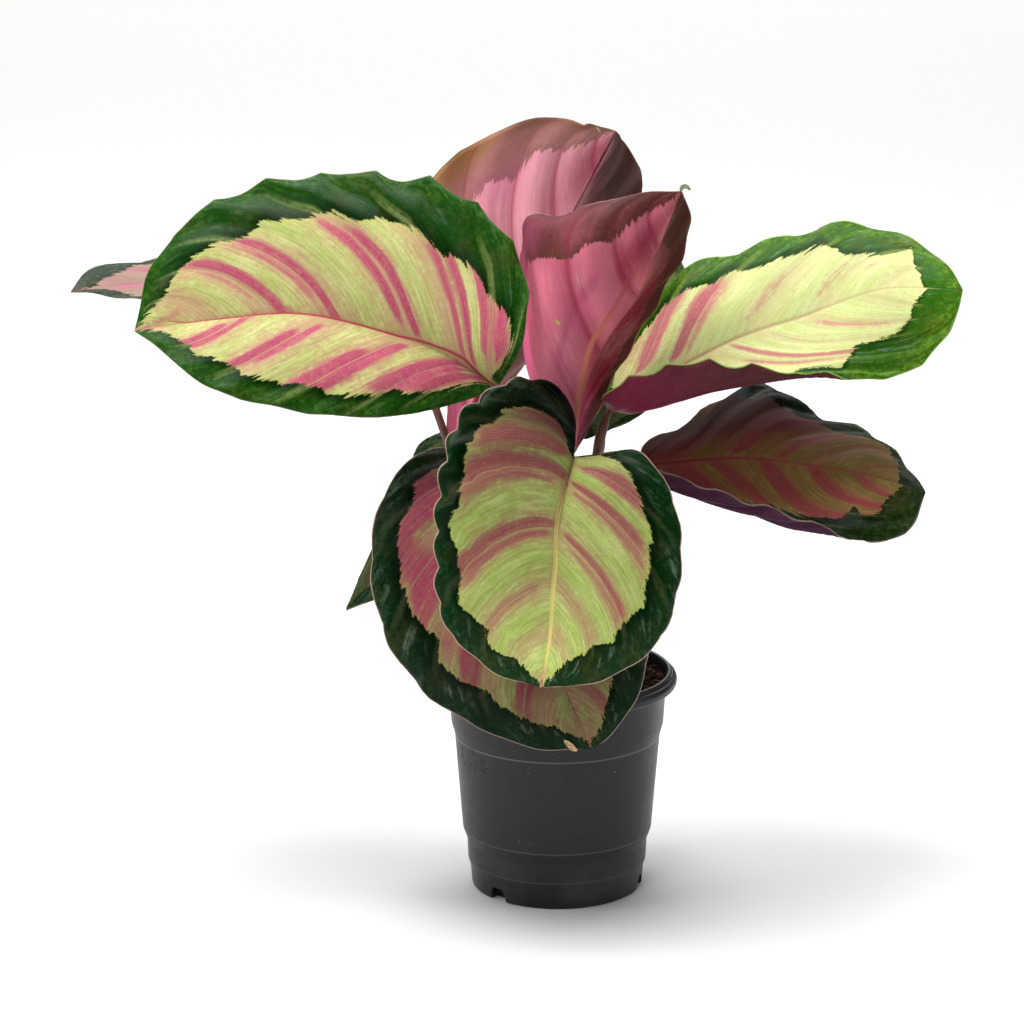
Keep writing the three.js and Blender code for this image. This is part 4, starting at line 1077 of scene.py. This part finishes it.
def stem_piece(name, leaf, look, material):
    """A stem: a grid rolled into a tube along the line from the peat to the blade."""
    mesh, order, x, _ = sheet(f"stalk_{name}", STEM_SIDES, STEM_STEPS)
    path = [(*leaf["foot"], SOIL_TOP + STEM_STRAIGHT), *leaf["stem"], leaf["rib"][0]]
    shares = np.linspace(0, 1, STEM_STEPS)
    line = line_through(path, shares)
    ahead = unit(np.gradient(line, axis=0))
    ahead[0] = 0, 0, 1
    knee = np.exp(-((shares - KNEE_PLACE) / KNEE_SPREAD) ** 2)
    radius = (look.radius + (look.foot_radius - look.radius) * np.clip(1 - shares / FOOT_LENGTH, 0, None)
              + (look.knee_radius - look.radius) * knee)
    radius *= 1 - (1 - look.end_radius / look.radius) * smoothstep(shares, STEM_NARROWS, 1)
    line = np.vstack([line[0] - np.array([0, 0, (STEM_BURIED + STEM_STRAIGHT) * MM]), line])
    ahead, radius, knee, shares = (np.concatenate([part[:1], part]) for part in (ahead, radius, knee, shares))
    aside = np.zeros_like(line)
    aside[0] = 1, 0, 0
    for i in range(1, len(line)):
        aside[i] = unit(aside[i - 1] - ahead[i] * aside[i - 1].dot(ahead[i]))
    other = np.cross(ahead, aside)
    turn = np.pi * x
    ribbed = (radius[:, None] * (1 - 0.05 * np.cos(3 * turn)))[..., None]
    points = line[:, None] + ribbed * (aside[:, None] * np.cos(turn)[..., None]
                                       + other[:, None] * np.sin(turn)[..., None])
    mesh.vertices.foreach_set("co", in_order(order, points))
    keep_marks(mesh, order, stem_place=(shares[:, None] * 10, np.cos(turn), knee[:, None]))
    bm = bmesh.new()
    bm.from_mesh(mesh)
    bmesh.ops.remove_doubles(bm, verts=bm.verts, dist=0.01 * MM)
    bmesh.ops.holes_fill(bm, edges=bm.edges)
    bmesh.ops.recalc_face_normals(bm, faces=bm.faces)
    bm.to_mesh(mesh)
    bm.free()
    return new_object(f"stalk_{name}", mesh, material)


class CALATHEA_OT_stems(Operator):
    """Draws the stems from the peat to the blades"""
    bl_idname = "calathea.stems"
    bl_label = "Stems"

    def execute(self, context):
        look = settings().stems
        material = stem_finish(look)
        for name, leaf in LEAVES.items():
            seat(stem_piece(name, leaf, look, material), "leaf_stem", f"stem_{name}")
        return {"FINISHED"}


def spun(profile, steps, rounding=0.0):
    """A closed profile of radii and heights in millimetres, rounded at its corners and spun."""
    bm = bmesh.new()
    verts = [bm.verts.new((radius * MM, 0, height * MM)) for radius, height in profile]
    for a, b in zip(verts, verts[1:]):
        bm.edges.new((a, b))
    if rounding:
        corners = [v for v in bm.verts if len(v.link_edges) == 2]
        bmesh.ops.bevel(bm, geom=corners, offset=rounding * MM, segments=2, profile=0.5,
                        affect="VERTICES", clamp_overlap=True, material=-1)
    bmesh.ops.spin(bm, geom=bm.verts[:] + bm.edges[:], cent=(0, 0, 0), axis=(0, 0, 1), dvec=(0, 0, 0),
                   angle=2 * math.pi, steps=steps, use_merge=True)
    bmesh.ops.remove_doubles(bm, verts=bm.verts, dist=1e-6)
    bmesh.ops.dissolve_degenerate(bm, dist=1e-7, edges=bm.edges)
    bmesh.ops.recalc_face_normals(bm, faces=bm.faces)
    return bm


def wall_inside(gap):
    """Radii and heights of the pot's wall above its foot, moved inwards by a gap."""
    return [(radius - gap, height) for radius, height in POT_OUTSIDE[POT_FOOT_SECTIONS:]]


def pot_finish(look):
    """Satin black plastic with faint flow marks, water marks, scuffs and a little dust, and painted highlights along
    the kinks of its profile and round the rim's inner edge.
    """
    f = Finish("pot_plastic")
    place = f.place()
    along, depth, height = f.parts(f.place())
    satin = f.noise(place, 1900, 2)
    flow = f.noise(f.place((60, 60, 9)), 1, 3)
    cloud = f.noise(place, 32, 3)
    stains = f.noise(place, 210, 4, 0.6, 0.6)
    specks = f.noise(place, 620, 1)
    # Painted highlights: thin light lines at the kinks of the pot's profile.
    lines = [(f.step(f.math("ABSOLUTE", f.add(height, -level * MM)), 0.2 * MM, 0.7 * MM, amount, 0),
              f.mix(0.12, look.plastic, (1, 1, 1))) for level, amount in PAINTED_EDGE_HIGHLIGHTS]
    off_scuff = [f.off(where, centre * MM, size * MM)
                 for where, centre, size in zip((along, height), SCUFF_PLACE, SCUFF_SIZE)]
    off_scuff = f.add(f.squares(*off_scuff), f.step(depth, -0.02, -0.01, 0, 9))
    scuffs = f.times(f.step(f.noise(f.place((1, 1, 0.5)), 520, 2), 0.56, 0.6), f.step(off_scuff, 0.6, 1.3, 1, 0))
    # Painted highlight: a thin light ring at the rim's inner edge.
    off_rim_highlight = f.math("ABSOLUTE", f.add(f.math("SQRT", f.squares(along, depth)), -RIM_HIGHLIGHT_RADIUS * MM))
    rim_highlight = f.times(f.step(off_rim_highlight, 0.3 * MM, 0.6 * MM, 0.75, 0), f.step(height, 0.109, 0.11))
    tone = f.layers(
        f.mix(f.step(flow, 0.35, 0.7, 0, 0.5), look.plastic, f.mix(0.35, look.plastic, DULL_PLASTIC)),
        (f.times(f.step(stains, 0.6, 0.72), f.step(cloud, 0.5, 0.65), clamp=True), STAINED_PLASTIC),
        (f.times(f.step(height, 0.0, 0.03, 0.25, 0.03), f.step(cloud, 0.35, 0.7)), look.dust),
        (f.step(specks, 0.78, 0.8, 0, 0.8), look.dust),
        *lines,
        (f.times(scuffs, 0.9), SCUFFED_PLASTIC),
        (rim_highlight, f.mix(0.3, look.plastic, PAINTED_RIM_HIGHLIGHT)))
    rough = f.step(f.add(f.times(cloud, 0.6), f.times(stains, 0.4)), 0.25, 0.75, look.roughness - 0.08,
                   look.roughness + 0.1)
    normal = f.bump(satin, 0.12, 0.06 * MM)
    normal = f.bump(f.noise(f.place((1, 1, 18)), 60, 2), 0.1, 0.12 * MM, normal)
    normal = f.bump(f.times(scuffs, -1), 1, 1.4 * MM, normal)
    f.set(Base_Color=tone, Roughness=rough, Normal=normal, Specular_IOR_Level=0.33)
    return f.material


class CALATHEA_OT_pot(Operator):
    """Spins the nursery pot and cuts its drain notches"""
    bl_idname = "calathea.pot"
    bl_label = "Pot"

    def execute(self, context):
        look = settings().pot
        wall, floor = look.wall / MM, look.floor / MM
        rim = [(POT_RIM_RADIUS - inward, POT_HEIGHT - down) for inward, down in RIM_SECTION]
        profile = [(0, 0), *POT_OUTSIDE, *rim, *reversed(wall_inside(wall)), (POT_OUTSIDE[0][0] - wall, floor),
                   (0, floor)]
        mesh = smooth_mesh(spun(profile, POT_FACES_ROUND, POT_ROUNDING), "nursery_pot")
        pot = new_object("nursery_pot", mesh, pot_finish(look))
        cutter = new_object("notch_blocks", smooth_mesh(self.notches(), "notch_blocks"))
        cut = pot.modifiers.new("notches", "BOOLEAN")
        cut.operation = "DIFFERENCE"
        cut.solver = "EXACT"
        cut.object = cutter
        graph = bpy.context.evaluated_depsgraph_get()
        pot.data = bpy.data.meshes.new_from_object(pot.evaluated_get(graph))
        pot.modifiers.clear()
        bpy.data.objects.remove(cutter)
        shade_smooth(pot.data)
        pot.data.set_sharp_from_angle(angle=SHARP_ANGLE)
        seat(pot, "pot_plastic", "pot")
        return {"FINISHED"}

    @staticmethod
    def notches():
        """Blocks in the shape of the drain notches."""
        bm = bmesh.new()
        for angle in NOTCH_ANGLES:
            turn = Matrix.Rotation(math.radians(angle), 4, "Z")
            for v in bmesh.ops.create_cube(bm, size=1)["verts"]:
                half, level = (NOTCH_TOP_HALF, NOTCH_HEIGHT) if v.co.z > 0 else (NOTCH_FOOT_HALF, NOTCH_FOOT)
                reach = math.copysign(NOTCH_HALF_DEPTH, v.co.y) - NOTCH_FROM_AXIS
                v.co = turn @ Vector((math.copysign(half, v.co.x) * MM, reach * MM, level * MM))
        bmesh.ops.recalc_face_normals(bm, faces=bm.faces)
        return bm


def peat_finish(look, name, tan):
    """Dark damp peat, browner on the lumps."""
    f = Finish(name)
    place = f.place()
    coarse = f.noise(place, 420, 4, 0.65)
    fine = f.noise(place, 1500, 3, 0.6)
    tone = f.layers(
        f.mix(f.step(coarse, 0.42, 0.62), f.mix(0.6, look.dark, (0, 0, 0)), look.brown),
        (f.step(fine, 0.6, 0.68, 0, tan), look.tan))
    f.set(Base_Color=tone, Roughness=f.step(coarse, 0.3, 0.7, 0.7, 0.95), Specular_IOR_Level=0.08,
          Normal=f.bump(f.add(coarse, f.times(fine, 0.5)), 0.9, 1.2 * MM))
    return f.material


def bark_finish(look):
    """Tan and orange-brown bark with a dark grain."""
    f = Finish("bark")
    grain = f.noise(f.place((1, 1, 3)), 700, 3)
    which = f.step(f.noise(f.place(), 95, 0), 0.4, 0.62)
    tone = f.layers(f.mix(which, look.tan, f.mix(0.4, look.brown, ORANGE_BARK)),
                    (f.step(grain, 0.35, 0.65, 0.6, 0), look.dark))
    f.set(Base_Color=tone, Roughness=0.8, Normal=f.bump(grain, 0.6, 0.3 * MM), Specular_IOR_Level=0.3)
    return f.material


def peat_height(x, y):
    """Height of the peat's surface over the pot's base, in metres."""
    look = settings().peat
    radius = min(1.0, math.hypot(x, y) / (SOIL_RADIUS * MM))
    level = (SOIL_TOP - SOIL_DROP * radius ** 2) * MM
    point = Vector((x, y, 0))
    rough = noise.fractal(point * 90, 0.9, 2.1, 4) * 0.8 + noise.noise(point * 380) * 0.35
    return level + look.lump * rough * (1 - radius ** 8)


def spot(draw):
    """A place on the peat, drawn at random."""
    radius = (SOIL_RADIUS - 1.5) * MM * math.sqrt(draw.random())
    angle = draw.uniform(0, 2 * math.pi)
    return radius * math.cos(angle), radius * math.sin(angle)


def roughen(verts, draw, share_of_size, size):
    for v in verts:
        v.co += Vector([draw.uniform(-share_of_size, share_of_size) * size for _ in range(3)])


class CALATHEA_OT_peat(Operator):
    """Fills the pot with peat and lays its crumbs, bark bits and fibres"""
    bl_idname = "calathea.peat"
    bl_label = "Peat"

    def execute(self, context):
        look = settings().peat
        sides = wall_inside(settings().pot.wall / MM + SOIL_CLEARANCE)
        top = [(SOIL_RADIUS * ring / SOIL_RINGS, SOIL_TOP - SOIL_DROP) for ring in range(SOIL_RINGS, -1, -1)]
        bm = spun([*SOIL_FOOT, *sides, *top], SOIL_FACES_ROUND)
        for v in bm.verts:
            if v.co.z > (SOIL_TOP - SOIL_DROP - 0.1) * MM:
                v.co.z = peat_height(v.co.x, v.co.y)
        peat = new_object("peat", smooth_mesh(bm, "peat"), peat_finish(look, "peat", 0.25))
        seat(peat, "soil", "soil")

        draw = random.Random(5)
        bm = bmesh.new()
        for _ in range(look.crumbs):
            x, y = spot(draw)
            size = draw.uniform(0.4, 1.75) ** 1.3 * MM
            turn = Matrix.Rotation(draw.uniform(0, 6.28), 4, Vector((draw.random(), draw.random(), 1)))
            place = Matrix.Translation((x, y, peat_height(x, y) + size * 0.25)) @ turn
            crumb = bmesh.ops.create_icosphere(bm, subdivisions=1, radius=size, matrix=place)["verts"]
            bmesh.ops.transform(bm, matrix=Matrix.Diagonal((1, 1, draw.uniform(0.5, 0.9), 1)), verts=crumb,
                                space=Matrix.Translation((-x, -y, -peat_height(x, y))))
            roughen(crumb, draw, 0.22, size)
        crumbs = new_object("peat_crumbs", smooth_mesh(bm, "peat_crumbs"), peat_finish(look, "crumbs", 0.5))
        seat(crumbs, "soil")

        bm = bmesh.new()
        for _ in range(look.bits):
            x, y = spot(draw)
            turn = Matrix.Rotation(draw.uniform(0, 6.28), 4, "Z") @ Matrix.Rotation(draw.uniform(-0.5, 0.5), 4, "Y")
            place = Matrix.Translation((x, y, peat_height(x, y) + 0.4 * MM)) @ turn
            size = (draw.uniform(1.2, 5) * MM, draw.uniform(0.3, 1.2) * MM, draw.uniform(0.2, 0.6) * MM)
            flake = bmesh.ops.create_cube(bm, size=1, matrix=place @ Matrix.Diagonal((*size, 1)))["verts"]
            roughen(flake, draw, 0.2, MM)
        bits = new_object("bark_bits", smooth_mesh(bm, "bark_bits"), bark_finish(look))
        seat(bits, "soil")
        return {"FINISHED"}


def aimed(name, data, place, target):
    """A lamp or camera at a place, looking at a target."""
    holder = new_object(name, data)
    holder.location = place
    holder.rotation_euler = (Vector(target) - Vector(place)).to_track_quat("-Z", "Y").to_euler()
    return holder


class CALATHEA_OT_stage(Operator):
    """Sets the floor, the soft light and the camera"""
    bl_idname = "calathea.stage"
    bl_label = "Stage"

    def execute(self, context):
        look = settings().stage
        bm = bmesh.new()
        bmesh.ops.create_grid(bm, x_segments=4, y_segments=4, size=9)
        f = Finish("floor")
        cloud = f.step(f.noise(f.place(), 1.5, 2), 0.3, 0.7, 0, 0.25)
        pale = tuple(look.floor)
        f.set(Base_Color=f.mix(cloud, pale, tuple(c * 0.985 for c in pale)), Roughness=0.9, Specular_IOR_Level=0.1)
        floor = new_object("floor", smooth_mesh(bm, "floor"), f.material)
        for name, (place, target, size, power_name, part) in LAMPS.items():
            light = bpy.data.lights.new(name, "AREA")
            light.shape = "RECTANGLE"
            light.size, light.size_y = size
            light.energy = part * getattr(look, power_name)
            aimed(name, light, place, target)
        world = bpy.data.worlds.new("even_light")
        world.use_nodes = True
        world.node_tree.nodes["Background"].inputs["Color"].default_value = (1, 1, 1, 1)
        world.node_tree.nodes["Background"].inputs["Strength"].default_value = look.world
        context.scene.world = world
        context.scene.view_settings.view_transform = "Standard"
        lens = bpy.data.cameras.new("camera")
        lens.lens = CAMERA_LENS
        lens.sensor_width = CAMERA_SENSOR
        lens.clip_end = 30
        camera = aimed("camera", lens, CAMERA_PLACE, CAMERA_AIM)
        camera.location = Vector(CAMERA_PLACE) * MM
        context.scene.camera = camera
        return {"FINISHED"}


class CALATHEA_PT_panel(Panel):
    """The calathea's pieces and their settings"""
    bl_label = "Potted Calathea"
    bl_idname = "CALATHEA_PT_panel"
    bl_space_type = "VIEW_3D"
    bl_region_type = "UI"
    bl_category = "Calathea"

    def draw(self, context):
        groups = context.scene.calathea
        for step, labels in STEPS.items():
            box = self.layout.box()
            box.operator(f"calathea.{step}")
            for label in labels:
                for name in getattr(groups, label).bl_rna.properties.keys():
                    if name not in ("rna_type", "name"):
                        box.prop(getattr(groups, label), name)


# The operators in order, each with the groups of settings that it uses.
STEPS = {"stage": ("stage",), "pot": ("pot",), "peat": ("peat",), "stems": ("stems",),
         "leaves": ("leaves", "colours"), "scraps": ()}

CLASSES = (CALATHEA_PG_leaves, CALATHEA_PG_leaf_colours, CALATHEA_PG_stems, CALATHEA_PG_pot,
           CALATHEA_PG_peat, CALATHEA_PG_stage, CALATHEA_PG_all, CALATHEA_OT_leaves, CALATHEA_OT_scraps,
           CALATHEA_OT_stems, CALATHEA_OT_pot, CALATHEA_OT_peat, CALATHEA_OT_stage, CALATHEA_PT_panel)


def register():
    for cls in CLASSES:
        bpy.utils.register_class(cls)
    bpy.types.Scene.calathea = PointerProperty(type=CALATHEA_PG_all)


def unregister():
    del bpy.types.Scene.calathea
    for cls in reversed(CLASSES):
        bpy.utils.unregister_class(cls)


def main():
    register()
    for step in STEPS:
        if "FINISHED" not in getattr(bpy.ops.calathea, step)():
            raise RuntimeError(f"{step} did not finish")


if __name__ == "__main__":
    main()
